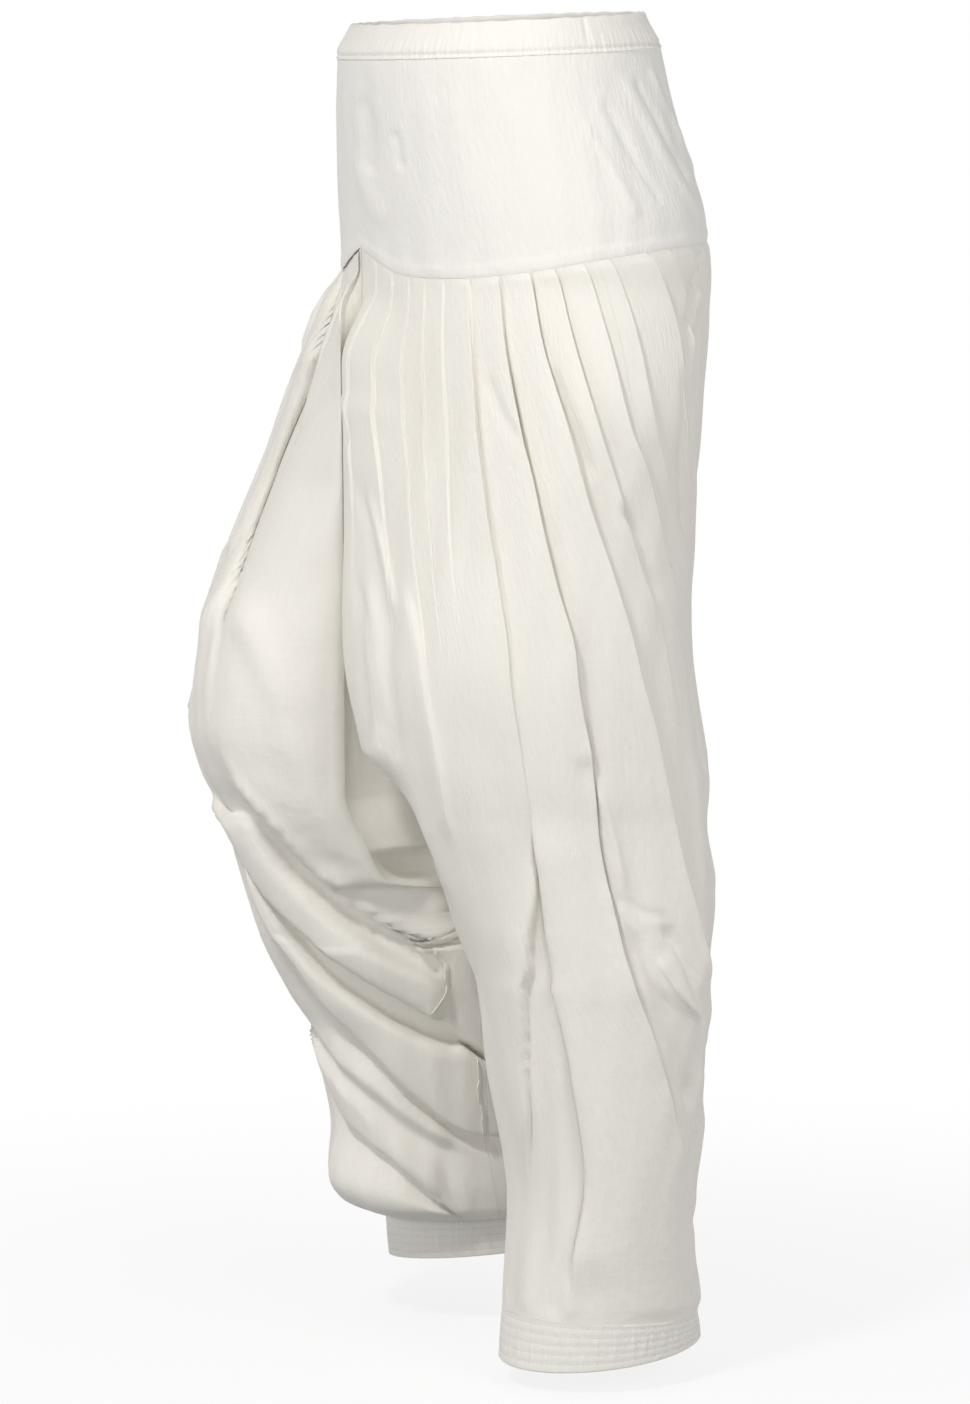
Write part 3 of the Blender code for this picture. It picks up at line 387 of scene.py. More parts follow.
# Cuffs: drop of the top, height, centre, half sizes at the top and at the hem, and how
# far the top and the hem are tilted from front to back and from side to side
CUFF_COLUMNS = ("top_drop", "height", "centre_x", "centre_y", "half_width", "half_depth",
                "hem_half_width", "hem_half_depth", "tilt", "sway", "hem_tilt", "hem_sway")
LEFT_CUFF = (944, 27, 112, 36, 62.8, 73.1, 60, 76.5, -4, 0, 6.5, -3.4)
RIGHT_CUFF = (914.7, 28.5, 112, 31.4, 60.2, 74.2, 57, 72, 0, -6, 2.5, -5.4)
# From the outer face round the hem and up inside: share of the height, distance in
CUFF_HEM_FOLD = ((1.015, 0.4), (1.02, 1), (1, 1.7), (0.9, 2), (0.6, 2))
# The same from the crest of the waistband down its inner side, and the rise
BAND_FOLD = ((0, 0, 0.3), (0, 0.9, 0.4), (0.03, 1.8, 0), (0.12, 2.2, 0), (0.35, 2.4, 0),
             (0.6, 2.4, 0), (0.8, 2.2, 0))
# Along one stitch: place, radius of the thread, how far it stands out
STITCH_SECTIONS = ((-0.36, 0.1, -0.3), (-0.24, 0.24, 0.1), (0.24, 0.24, 0.1), (0.36, 0.1, -0.3))
# Rows of the leg cloth: the level where each span starts, and its share of the rows
LEFT_ROW_SHARES = ((190, 0.04), (204, 0.32), (500, 0.5), (860, 0.1), (928, 0.04))
RIGHT_ROW_SHARES = ((190, 0.04), (204, 0.24), (560, 0.12), (628, 0.08), (652, 0.4), (870, 0.08),
                    (901, 0.04))

# How many rows and columns of points each sheet has, and the shares where they change
FRONT_ROWS = 210
BACK_ROWS = 200
DRAPE_COLUMN_COUNT = 18
COWL_COLUMN_COUNT = 112
COWLS_UNTIL = 0.30
COLUMN_GAP = 0.001
# More columns of the left front, over spans of places: from, to, count
KNEE_COLUMNS = ((0.1655, 0.2360, 22), (0.3005, 0.3375, 24))
YOKE_COLUMN_COUNT = 170
YOKE_ROWS = 64
YOKE_EDGE_ROWS = 7
BAND_COLUMN_COUNT = 360
BAND_SHARES = (0.04, 0.12, 0.2, 0.3, 0.4, 0.5, 0.6, 0.7, 0.78, 0.83, 0.86, 0.88, 0.90, 0.93,
               0.965, 1.0)
CUFF_COLUMN_COUNT = 260
CUFF_ROW_COUNT = 36

# Radii and lengths of a degree that turn angles into metres, and widths of the maps
YOKE_RADIUS = 0.150
YOKE_FOLD_RADIUS = 0.145
BAND_RADIUS = 0.138
LEAST_RADIUS = 0.06
LEG_RADIUS = 0.11
LEG_DEGREE = 0.0019
RIBBON_DEGREE = 0.0018
MAP_WIDTH = 1.1
CUFF_GIRTH = 0.42

# Edges: half the gap at a leg's side seam as a share of the yoke seam, over what drop
# the pleated edge follows the yoke seam, over what drops the folds set in beside the
# seams, over what shares they do so at the legs' edges, over what drop they end at the
# foot, and over what drop a leg's foot follows its cuff
SEAM_SHARE = 0.0001
SEAM_LEVELS_OUT = 0.11
SEAM_FREE_REACH = 0.04
SEAM_REACH = 0.04
RIGHT_SEAM_REACH = 0.012
FOOT_REACH = 0.012
CUFF_TILT_REACH = 0.09
# The left front meets the fold edge of the drape at this share, this far beside it,
# from the first pair of levels until the second
MEETS_AT = 0.035
MEETS_OVER = 0.15
MEETS_LEVELS = ((0.190, 0.255), (0.42, 0.52))
FOLD_EDGE_CLEAR = 0.0022
# The right front beside its drape: how much less of the ring is drawn over low down,
# from what drop and over what drop, and up to what share the drawn columns are found
DRAPE_NARROWS = 0.62
NARROWS_FROM = 0.59
NARROWS_OVER = 0.035
DRAWN_TRIES = (0.19, 120)
DRAWN_UNTIL = 0.24
DRAWN_FADE = 0.08

# A knife pleat starts with this share of its height, over this drop
PLEAT_START = 0.3
PLEAT_STARTS_OVER = 0.006
# Shares to both sides of a point that give the direction along its ring
SHARE_STEP = 0.002
# The fine unrest of the cloth: its waves, its size, and over what drop it sets in
WAVE_COUNT = 14
UNREST = 0.0009
UNREST_OVER = 0.2
YOKE_UNREST = 0.0005
YOKE_SEED = 5
# Small relief of the yoke's foot, the casing and the cuffs
YOKE_LIP = 0.0007
BAND_BULGE = 0.0016
BAND_SEAM_ANGLE = 95.6
BAND_SEAM = 0.0014
BAND_WAVE = 0.0003
BAND_GROOVE = 0.0009
BAND_PUCKER = 0.00035
BAND_STITCH_ROW = 0.88
CUFF_STITCH_ROWS = (0.08, 0.27, 0.46, 0.65, 0.84)
CUFF_GROOVE = 0.0003
CUFF_PUCKER = 0.0004
STITCH_PITCH = 0.0034
STITCH_SIDES = 5
# A ribbon's thickness, its width on the map, and its section from the foot outward: how
# far over and how far out it lies
RIBBON_WALL = 0.0008
RIBBON_WIDTH = 0.006
RIBBON_SECTION = ((0, -0.4), (0.12, 0.45), (0.45, 0.55), (0.75, 0.8), (1, 1))
# How far the overhang of a drawn fold reaches past its crest
SLIDE_SPREAD = 0.008
# Angles and drops at which the cowl folds are lofted: from, to, and step or count
COWL_TURNS = (-214.0, -72.0, 0.5)
COWL_DROPS = (0.50, 0.94, 560)
# The step down that gives the lean of a roll's line
ROLL_STEP = 0.004

# Height of the floor, and the glow of the surround above and below eye level
FLOOR = -0.995
SKY = 0.20
# Lights: name, place, what it aims at, side of its square, power
LIGHTS = (
    ("key", (1.75, -2.3, 2.6), (0, 0, -0.45), 0.55, 83),
    ("fill", (2.7, 0.6, 0.8), (0, 0, -0.30), 1.2, 25),
    ("front", (0.9, -2.6, -0.5), (0, 0, -0.70), 1.2, 8),
)
LIGHT_COLOUR = (1, 0.99, 0.975)
# Where the camera stands round its target, in degrees, and its lens
AZIMUTH = 68
ELEVATION = 7
TARGET = (-0.0033, -0.0083, -0.508)
DISTANCE = 4.0
LENS = 138.6


def smooth_curve(places, values, wanted):
    """Monotone cubic through the values at the places, read where wanted."""
    places = np.asarray(places, float)
    values = np.asarray(values, float)
    steps = np.diff(places)
    slopes = np.diff(values) / steps
    tangents = np.zeros_like(values)
    tangents[0] = slopes[0]
    tangents[-1] = slopes[-1]
    for k in range(1, len(places) - 1):
        if slopes[k - 1] * slopes[k] > 0:
            near = 2 * steps[k] + steps[k - 1]
            far = steps[k] + 2 * steps[k - 1]
            tangents[k] = (near + far) / (near / slopes[k - 1] + far / slopes[k])
    wanted = np.clip(wanted, places[0], places[-1])
    k = np.clip(np.searchsorted(places, wanted, side="right") - 1, 0, len(steps) - 1)
    t = (wanted - places[k]) / steps[k]
    rise = steps[k] * (t * (1 - t) ** 2 * tangents[k] - t * t * (1 - t) * tangents[k + 1])
    return (1 + 2 * t) * (1 - t) ** 2 * values[k] + t * t * (3 - 2 * t) * values[k + 1] + rise


def in_metres(columns, row):
    """A table's row by the names of its columns, with its lengths in metres."""
    return {name: value if name in PLAIN_COLUMNS else value / 1000
            for name, value in zip(columns, row)}


def read_table(table, columns, name, wanted):
    """One named column of a table, read at the wanted places in its first column."""
    rows = [in_metres(columns, row) for row in table]
    return smooth_curve([row[columns[0]] for row in rows], [row[name] for row in rows], wanted)


def ease(value):
    """0 below 0, 1 above 1, and smooth between."""
    value = np.clip(value, 0, 1)
    return value * value * (3 - 2 * value)


def bell(away, width):
    """1 where away is 0, falling to nothing on both sides."""
    return np.exp(-(away / width) ** 2)


def within_turn(angle):
    """The same angle in degrees, between -180 and 180."""
    return (angle + 180) % 360 - 180


def yoke_seam_drop(angle):
    """Drop of the yoke seam at an angle in degrees round from the centre front."""
    corners = read_table(YOKE_SEAM, YOKE_SEAM_COLUMNS, "drop", np.array(SEAM_CORNERS))
    return np.interp(np.abs(angle), SEAM_CORNERS, corners)


def body_ring(angles, drops):
    """Points round the body, at angles in degrees from the centre front."""
    size = {name: read_table(BODY, BODY_COLUMNS, name, drops) for name in BODY_COLUMNS[1:]}
    x = size["half_width"] * np.sin(np.radians(angles))
    y = size["centre_y"] - size["half_depth"] * np.cos(np.radians(angles))
    return np.stack([x, y, -drops], -1)


def course_of(leg, level, places):
    """Shares of the ring at one level at which the threads from these places lie."""
    drops = [row[0] / 1000 for row in leg["course"]]
    threads = list(zip(*leg["course"]))[1:]
    starts = [0, *(thread[0] for thread in threads), 1]
    shares = [0, *(float(smooth_curve(drops, thread, level)) for thread in threads), 1]
    return smooth_curve(starts, shares, places)


def seam_ends(leg, drop):
    """Depth of the ring's two ends: the centre seam, and the inseam below it."""
    inseam = read_table(leg["inseam"], INSEAM_COLUMNS, "seam_y", drop)
    return [np.where(drop >= CROTCH_DROP, inseam,
                     read_table(CENTRE_SEAM, CENTRE_SEAM_COLUMNS, name, drop))
            for name in CENTRE_SEAM_COLUMNS[1:]]


def ring_point(leg, share, drop):
    """Place on the smooth leg, before its folds, and the angle round the leg."""
    size = {name: read_table(leg["rings"], LEG_COLUMNS, name, drop) for name in LEG_COLUMNS[1:]}
    reach = np.pi - np.arccos(np.clip(size["centre_x"] / size["half_width"], 0, 1))
    angle = reach * (2 * share - 1)
    if leg["side_rings"]:
        begun = ease((np.degrees(angle) - SIDE_FROM[0]) / (SIDE_FROM[1] - SIDE_FROM[0]))
        left = ease((SIDE_UNTIL[1] - np.degrees(angle)) / (SIDE_UNTIL[1] - SIDE_UNTIL[0]))
        for name in SIDE_COLUMNS[1:]:
            at_side = read_table(leg["side_rings"], SIDE_COLUMNS, name, drop)
            size[name] = size[name] + begun * left * (at_side - size[name])
    x = size["centre_x"] + size["half_width"] * np.cos(angle)
    y = size["centre_y"] + size["half_depth"] * np.sin(angle)
    end_depth = size["half_depth"] * np.sin(reach)
    front_end, back_end = seam_ends(leg, drop)
    front_turn, back_turn = [read_table(leg["turn_in"], TURN_IN_COLUMNS, name, drop)
                             for name in TURN_IN_COLUMNS[1:]]
    near_front = np.clip(1 - share / front_turn, 0, 1) ** 2
    near_back = np.clip(1 - (1 - share) / back_turn, 0, 1) ** 2
    y = y + near_front * (front_end - size["centre_y"] + end_depth)
    y = y + near_back * (back_end - size["centre_y"] - end_depth)
    return np.stack([leg["side"] * x, y, -drop], -1), np.degrees(angle)


def running_length(points):
    """Length along a line of points, up to each of them."""
    steps = np.linalg.norm(np.diff(points, axis=0), axis=1)
    return np.concatenate([[0], np.cumsum(steps)])


def smooth_line(points, steps):
    """A smooth line through a few (angle, drop) points of a table, at even steps."""
    points = np.array(points) / (1, 1000)
    points[:, 0] = np.degrees(np.unwrap(np.radians(points[:, 0])))
    place = running_length(points * (LEG_DEGREE, 1))
    wanted = np.linspace(0, place[-1], steps + 1)
    return np.stack([smooth_curve(place, points[:, k], wanted) for k in (0, 1)], 1)


def stroke_fields(strokes, angle, drop, metres):
    """Height, and shifts round the leg and downward, of all the drawn folds."""
    height, around, down = np.zeros((3, *angle.shape))
    for row in strokes:
        stroke = in_metres(STROKE_COLUMNS, row)
        sharp, wide = sorted((stroke["before"], stroke["after"]))
        line = smooth_line(stroke["line"], STROKE_STEPS)
        (left, top), (right, foot) = line.min(0), line.max(0)
        half = (right - left) / 2 + np.degrees(3 * wide / LEAST_RADIUS)
        near = (drop > top - 3 * wide) & (drop < foot + 3 * wide)
        near &= np.abs(within_turn(angle - (left + right) / 2)) < half
        # the nearest step of the line: distance, side, how far along, and direction across
        nearest = np.full((5, np.count_nonzero(near)), np.inf)
        for k in range(STROKE_STEPS):
            x = within_turn(angle[near] - line[k, 0]) * metres[near]
            y = drop[near] - line[k, 1]
            vx = (line[k + 1, 0] - line[k, 0]) * metres[near]
            vy = line[k + 1, 1] - line[k, 1]
            length = vx * vx + vy * vy
            t = np.clip((x * vx + y * vy) / length, 0, 1)
            found = np.stack([(x - t * vx) ** 2 + (y - t * vy) ** 2,
                              np.where(x * vy > y * vx, 1, -1), (k + t) / STROKE_STEPS,
                              vy / np.sqrt(length), -vx / np.sqrt(length)])
            nearest = np.where(found[0] < nearest[0], found, nearest)
        away = nearest[1] * np.sqrt(nearest[0])
        along = nearest[2]
        width = np.where(away < 0, stroke["before"], stroke["after"])
        taper = ease(along / STROKE_TAPER) * ease((1 - along) / STROKE_TAPER)
        height[near] += stroke["height"] * taper * bell(away, width)
        if stroke["slide"]:
            wall = 1 if stroke["after"] < stroke["before"] else -1
            crest = 0 if stroke["height"] > 0 else 1.5 * wall * sharp
            inward = wall if stroke["height"] > 0 else -wall
            spread = np.where((away - crest) * inward > 0, 0.8 * sharp, SLIDE_SPREAD)
            shift = stroke["slide"] * taper * bell(away - crest, spread)
            around[near] += shift * nearest[3]
            down[near] += shift * nearest[4]
    return height, around, down


def cowl_fields(cowls, angle, drop):
    """Height and overhang of the cowl folds, lofted down each angle through their lines."""
    turns = np.arange(*COWL_TURNS)
    drops = np.linspace(*COWL_DROPS)
    soft = np.hanning(2 * COWL_SOFT + 3)[1:-1]
    soft /= soft.sum()
    at = []
    lofted = []
    for row in cowls:
        fold = in_metres(COWL_COLUMNS, row)
        line = np.array(fold["line"])[::-1] / (1, 1000)
        reach = np.interp(turns, line[:, 0], line[:, 1])
        lean = np.diff(line[:, 1]) / np.diff(line[:, 0])
        reach += lean[0] * np.minimum(turns - line[0, 0], 0)
        reach += lean[-1] * np.maximum(turns - line[-1, 0], 0)
        reach = np.convolve(np.pad(reach, COWL_SOFT, "edge"), soft, "valid") + fold["below"]
        lives = ease((turns - line[0, 0]) / fold["inner_fade"] + 1)
        lives = lives * ease((line[-1, 0] - turns) / fold["front_fade"] + 1)
        at.append(np.maximum(reach, at[-1] + COWL_GAP) if at else reach)
        lofted.append((fold["height"] * lives, fold["overhang"] * lives))
    at = np.array(at)
    lofted = np.array(lofted)
    wrapped = np.where(angle > 120, angle - 360, angle)
    u = np.clip((wrapped - turns[0]) / COWL_TURNS[2], 0, len(turns) - 1.001)
    v = np.clip((drop - drops[0]) / (drops[1] - drops[0]), 0, len(drops) - 1.001)
    i = u.astype(int)
    j = v.astype(int)
    u = u - i
    v = v - j
    found = []
    for k in (0, 1):
        field = np.array([smooth_curve(at[:, t], lofted[:, k, t], drops)
                          for t in range(len(turns))])
        low = field[i, j] * (1 - u) + field[i + 1, j] * u
        high = field[i, j + 1] * (1 - u) + field[i + 1, j + 1] * u
        found.append(low * (1 - v) + high * v)
    return found


def roll_fields(rolls, places, drop, point):
    """Height and shift of the rolls and creases that run down a panel."""
    steps = np.linalg.norm(np.diff(point, axis=1), axis=2)
    along = np.concatenate([np.zeros((len(point), 1)), np.cumsum(steps, 1)], 1)
    fields = np.zeros((2, *drop.shape))
    for row in rolls:
        roll = in_metres(ROLL_COLUMNS, row)
        line = np.array(roll["line"]) / (1000, 1)
        marks = []
        for near in (drop, drop + ROLL_STEP):
            wanted = smooth_curve(line[:, 0], line[:, 1], near)
            marks.append([np.interp(w, places, length) for w, length in zip(wanted, along)])
        lean = (np.array(marks[1]) - marks[0]) / ROLL_STEP
        away = (along - marks[0]) / np.sqrt(1 + lean * lean)
        size = ease((drop - line[0, 0]) / roll["starts_over"])
        size = roll["size"] * size * ease((line[-1, 0] - drop) / roll["ends_over"])
        for field, name in zip(fields, PROFILE_COLUMNS[1:]):
            field += size * read_table(roll["profile"], PROFILE_COLUMNS, name, away)
    return fields


def pleat_fields(pleats, places, levels):
    """Height and overlap of the knife pleats, at places along the seam and levels."""
    rows = [in_metres(PLEAT_COLUMNS, row) for row in pleats]
    rows.append({"place": 1.0, "height": 0.0, "overlap": 0.0, "ends": 0.5})
    below = levels - YOKE_DROP
    begin = PLEAT_START * ease(below / PLEAT_STARTS_OVER)
    begin = begin + (1 - PLEAT_START) * ease(below / PLEAT_OPENS)
    height, around = np.zeros((2, len(levels), len(places)))
    last_place = 0.0
    last_edge = last_lap = np.zeros((len(levels), 1))
    for row in rows:
        fade = 1 - ease(below / (row["ends"] - YOKE_DROP))
        edge = (row["height"] * begin * fade)[:, None]
        lap = (row["overlap"] * begin * fade)[:, None]
        phase = (places - last_place) / (row["place"] - last_place)
        inside = (phase > 0) & (phase <= 1)
        phase = phase[inside]
        fall = 1 - ease(phase / PLEAT_FALL)
        rise = np.clip((phase - PLEAT_FALL) / (1 - PLEAT_FALL), 0, 1) ** 1.4
        tip = np.clip((phase - 0.7) / 0.3, 0, 1) ** 2
        groove = PLEAT_GROOVE * bell(phase - GROOVE_AT, GROOVE_WIDTH)
        under = 1.6 * fall - 0.6 * ease(1 - phase / 0.3)
        height[:, inside] = last_edge * (fall - groove) + edge * rise
        around[:, inside] = last_lap * under + lap * tip
        last_place, last_edge, last_lap = row["place"], edge, lap
    return height, around


def soft_waves(across, down, seed):
    """Small even unrest of hanging cloth, between about -1 and 1."""
    source = np.random.default_rng(seed)
    total = np.zeros(np.broadcast(across, down).shape)
    for _ in range(WAVE_COUNT):
        u = source.uniform(60, 260) * source.choice((-1, 1))
        v = source.uniform(8, 45)
        total = total + np.sin(u * across + v * down + source.uniform(0, 6.28)) / 4.5
    return total


def leg_cloth(leg, places, levels):
    """Points of a leg's cloth, a row for each level, and their angles and drops."""
    is_front = places[0] == 0
    has_drape = is_front and leg["side"] < 0
    share = np.array([course_of(leg, level, places) for level in levels])
    level = np.repeat(levels[:, None], len(places), 1)
    _, angle = ring_point(leg, share, level)
    toward_yoke = 1 - ease((level - YOKE_DROP) / SEAM_LEVELS_OUT)
    from_front = np.clip(90 + angle, 0, 180)
    drop = level + toward_yoke * (yoke_seam_drop(from_front) - YOKE_DROP)
    foot = leg["cuff"]["top_drop"]
    lift = leg["cuff"]["tilt"] * np.sin(np.radians(angle))
    lift += leg["cuff"]["sway"] * np.cos(np.radians(angle))
    drop = drop - lift * ease((level - foot + CUFF_TILT_REACH) / CUFF_TILT_REACH)
    point, angle = ring_point(leg, share, drop)
    beside = share
    if has_drape:
        end = int(np.searchsorted(places, DRAPE_END))
        turn = read_table(leg["turn_in"], TURN_IN_COLUMNS, "front", drop[:, end])
        turn *= 1 - DRAPE_NARROWS * ease((drop[:, end] - NARROWS_FROM) / NARROWS_OVER)
        drape_pull(point, share, drop, end, turn)
        beside = drape_shares(leg, point, share, drop, end)
        _, angle = ring_point(leg, beside, drop)
    ahead, behind = [ring_point(leg, np.clip(beside + step, 0, 1), drop)[0]
                     for step in (SHARE_STEP, -SHARE_STEP)]
    along = ahead - behind
    along /= np.linalg.norm(along, axis=2)[..., None]
    outward = np.stack([along[..., 1], -along[..., 0]], -1) * leg["side"]
    wide, deep = [read_table(leg["rings"], LEG_COLUMNS, name, drop) for name in LEG_COLUMNS[3:]]
    metres = np.radians((wide + deep) / 2)
    height, around = pleat_fields(leg["pleats"], places, levels)
    folds = np.array(stroke_fields(leg["strokes"], angle, drop, metres))
    if leg["cowls"]:
        folds[::2] += cowl_fields(leg["cowls"], angle, drop)
    if is_front:
        folds[:2] += roll_fields(leg["rolls"], places, drop, point)
    waves = soft_waves(np.radians(angle) * LEG_RADIUS, drop, leg["seed"])
    unrest = UNREST * ease((level - YOKE_DROP) / UNREST_OVER) * waves
    unrest *= ease(share / SEAM_REACH) * ease((1 - share) / SEAM_REACH)
    # no fold moves the edges, apart from the seams below the crotch
    free = ease(share / leg["seam_reach"]) * ease((1 - share) / SEAM_REACH)
    free = 1 - (1 - free) * ease((CROTCH_DROP - level) / SEAM_FREE_REACH)
    free *= ease((foot - level) / FOOT_REACH)
    point[..., :2] += outward * ((height + folds[0] + unrest) * free)[..., None]
    point += along * ((around + folds[1]) * free)[..., None]
    point[..., 2] -= folds[2] * free
    point[..., 0] = leg["side"] * np.maximum(leg["side"] * point[..., 0], CENTRE_CLEAR)
    if has_drape:
        hang_drape(point, share, drop, end)
    elif is_front:
        meet_fold_edge(point, share, drop)
    return point, angle, drop


def fold_edge(drop):
    """Across and depth of the drape's fold edge at some drops."""
    return np.stack([read_table(DRAPE, DRAPE_COLUMNS, name, drop)
                     for name in ("edge_x", "edge_y")], -1)


def meet_fold_edge(point, share, drop):
    """The left leg's cloth comes forward beside the fold edge of the right one's drape."""
    begins, ends = [ease((drop[:, 0] - low) / (high - low)) for low, high in MEETS_LEVELS]
    for r, target in enumerate(fold_edge(drop[:, 0]) + (FOLD_EDGE_CLEAR, 0)):
        now = np.array([np.interp(MEETS_AT, share[r], point[r, :, k]) for k in (0, 1)])
        near = ease(share[r] / MEETS_AT) * (1 - ease((share[r] - MEETS_AT) / MEETS_OVER))
        point[r, :, :2] += begins[r] * (1 - ends[r]) * near[:, None] * (target - now)


def drape_pull(point, share, drop, end, reach):
    """Draw the panel's columns over to the fold edge, and give that edge for each row."""
    free = ease((CROTCH_DROP - drop[:, end]) / DRAPE_ENDS_OVER)[:, None]
    shift = free * (fold_edge(drop[:, end]) - point[:, end, :2])
    near = np.clip(1 - (share - share[:, end:end + 1]) / reach[:, None], 0, 1) ** 2
    near[:, :end] = 0
    edge = point[:, end, :2] + shift
    point[..., :2] += near[..., None] * shift[:, None]
    return edge, free


def drape_shares(leg, point, share, drop, end):
    """Shares of the smooth ring beside which the drawn over columns now lie."""
    found = share.copy()
    for r in np.nonzero(drop[:, end] < CROTCH_DROP)[0]:
        tries = np.linspace(0, *DRAWN_TRIES)
        ring, _ = ring_point(leg, tries, np.full(tries.shape, drop[r, end]))
        falling = np.minimum.accumulate(ring[:, 1])
        moved = share[r] < DRAWN_UNTIL
        at = np.interp(-point[r, moved, 1], -falling, tries)
        mix = ease((DRAWN_UNTIL - share[r, moved]) / DRAWN_FADE)
        found[r, moved] = share[r, moved] + mix * (at - share[r, moved])
    return np.maximum(found, 0)


def hang_drape(point, share, drop, end):
    """The right front panel turns under at the centre front, over the left leg."""
    behind = read_table(DRAPE, DRAPE_COLUMNS, "behind_x", drop[:, end])
    edge, free = drape_pull(point, share, drop, end, np.full(len(drop), DRAPE_GRIP))
    t = np.linspace(0, 1, end + 1)[:, None]
    bend = ease((t - 0.8) / 0.2)
    for r in np.nonzero(drop[:, 0] < CROTCH_DROP)[0]:
        seam = point[r, 0, :2].copy()
        mid = (edge[r] + seam) / 2
        mid[0] += free[r, 0] * (behind[r] - mid[0])
        hook = edge[r] + np.array(DRAPE_HOOK) * free[r]
        # from the seam, past the cloth behind, to the hook under the fold edge
        curve = ((1 - t) ** 3 * seam + 3 * t * (1 - t) ** 2 * (mid + seam) / 2
                 + 3 * t * t * (1 - t) * (mid + hook) / 2 + t ** 3 * hook)
        point[r, :end + 1, :2] = curve * (1 - bend) + edge[r] * bend


LEFT = {
    "name": "left", "side": 1, "rings": LEFT_RINGS, "side_rings": LEFT_SIDE_RINGS,
    "inseam": LEFT_INSEAM, "turn_in": LEFT_TURN_IN, "course": LEFT_COURSE,
    "pleats": LEFT_PLEATS, "strokes": LEFT_STROKES, "cowls": (), "rolls": LEFT_ROLLS,
    "side_seam": LEFT_SIDE_SEAM, "cuff": in_metres(CUFF_COLUMNS, LEFT_CUFF), "seed": 11,
    "rows": LEFT_ROW_SHARES, "seam_reach": SEAM_REACH, "ribbons": (),
}
RIGHT = {
    "name": "right", "side": -1, "rings": RIGHT_RINGS, "side_rings": None,
    "inseam": RIGHT_INSEAM, "turn_in": RIGHT_TURN_IN, "course": RIGHT_COURSE,
    "pleats": RIGHT_PLEATS, "strokes": RIGHT_STROKES, "cowls": RIGHT_COWLS, "rolls": RIGHT_ROLLS,
    "side_seam": RIGHT_SIDE_SEAM, "cuff": in_metres(CUFF_COLUMNS, RIGHT_CUFF), "seed": 23,
    "rows": RIGHT_ROW_SHARES, "seam_reach": RIGHT_SEAM_REACH, "ribbons": RIGHT_RIBBONS,
}


def add_mesh(name, points, faces, material):
    """An object made of faces between points."""
    mesh = bpy.data.meshes.new(name)
    mesh.from_pydata(points, [], faces)
    mesh.materials.append(material)
    piece = bpy.data.objects.new(name, mesh)
    bpy.context.scene.collection.objects.link(piece)
    return piece


def add_sheet(name, grid, across, down, cloth, closed=False):
    """A smooth sheet through a grid of points, with a map in metres."""
    rows, count = grid.shape[:2]
    r, c = np.meshgrid(np.arange(rows - 1), np.arange(count if closed else count - 1),
                       indexing="ij")
    after = (c + 1) % count
    faces = np.stack([r * count + c, (r + 1) * count + c, (r + 1) * count + after,
                      r * count + after], -1).reshape(-1, 4)
    sheet = add_mesh(name, grid.reshape(-1, 3).tolist(), faces.tolist(), cloth)
    corners = np.stack([across[c], down[r], across[c], down[r + 1], across[c + 1], down[r + 1],
                        across[c + 1], down[r]], -1)
    sheet.data.uv_layers.new(name="cloth").data.foreach_set("uv", corners.reshape(-1))
    sheet.data.shade_smooth()
    sheet.data.update()
    return sheet


def add_wall(sheet, thickness, offset):
    """Thickness of a sheet, all inward at an offset of -1."""
    wall = sheet.modifiers.new("Wall", "SOLIDIFY")
    wall.thickness = thickness
    wall.offset = offset


def cloth_piece(node, grid, across, down, cloth, wall=CLOTH, closed=False):
    """The cloth that stands for a node, with sharp edges round its rim."""
    rows, count = grid.shape[:2]
    piece = add_sheet("cloth_" + node, grid, across, down, cloth, closed)
    ends = np.array([edge.vertices[:] for edge in piece.data.edges])
    row, column = ends // count, ends % count
    rim = (row == 0).all(1) | (row == rows - 1).all(1)
    if not closed:
        rim |= (column == 0).all(1) | (column == count - 1).all(1)
    piece.data.edges.foreach_set("use_edge_sharp", rim)
    add_wall(piece, wall, -1)
    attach(piece, "root")
    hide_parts(node)
    return piece


def panel_places(leg, low, high):
    """Columns of a panel, close together at each pleat edge."""
    edges = [0.0, *(row[0] for row in leg["pleats"]), 1.0]
    places = [start + phase * (end - start) for start, end in zip(edges, edges[1:])
              for phase in PLEAT_PHASES]
    places = [place for place in places if low + COLUMN_GAP < place < high - COLUMN_GAP]
    if low == 0 and leg["side"] > 0:
        knee = [place for row in KNEE_COLUMNS for place in np.linspace(*row)]
        places = sorted(places + knee)
    if low == 0 and leg["side"] < 0:
        turn = np.linspace(0, DRAPE_END, DRAPE_COLUMN_COUNT)
        cowls = np.linspace(DRAPE_END, COWLS_UNTIL, COWL_COLUMN_COUNT)[1:]
        rest = [place for place in places if place > COWLS_UNTIL + COLUMN_GAP]
        return np.concatenate([turn, cowls, rest, [high]])
    return np.array([low, *places, high])


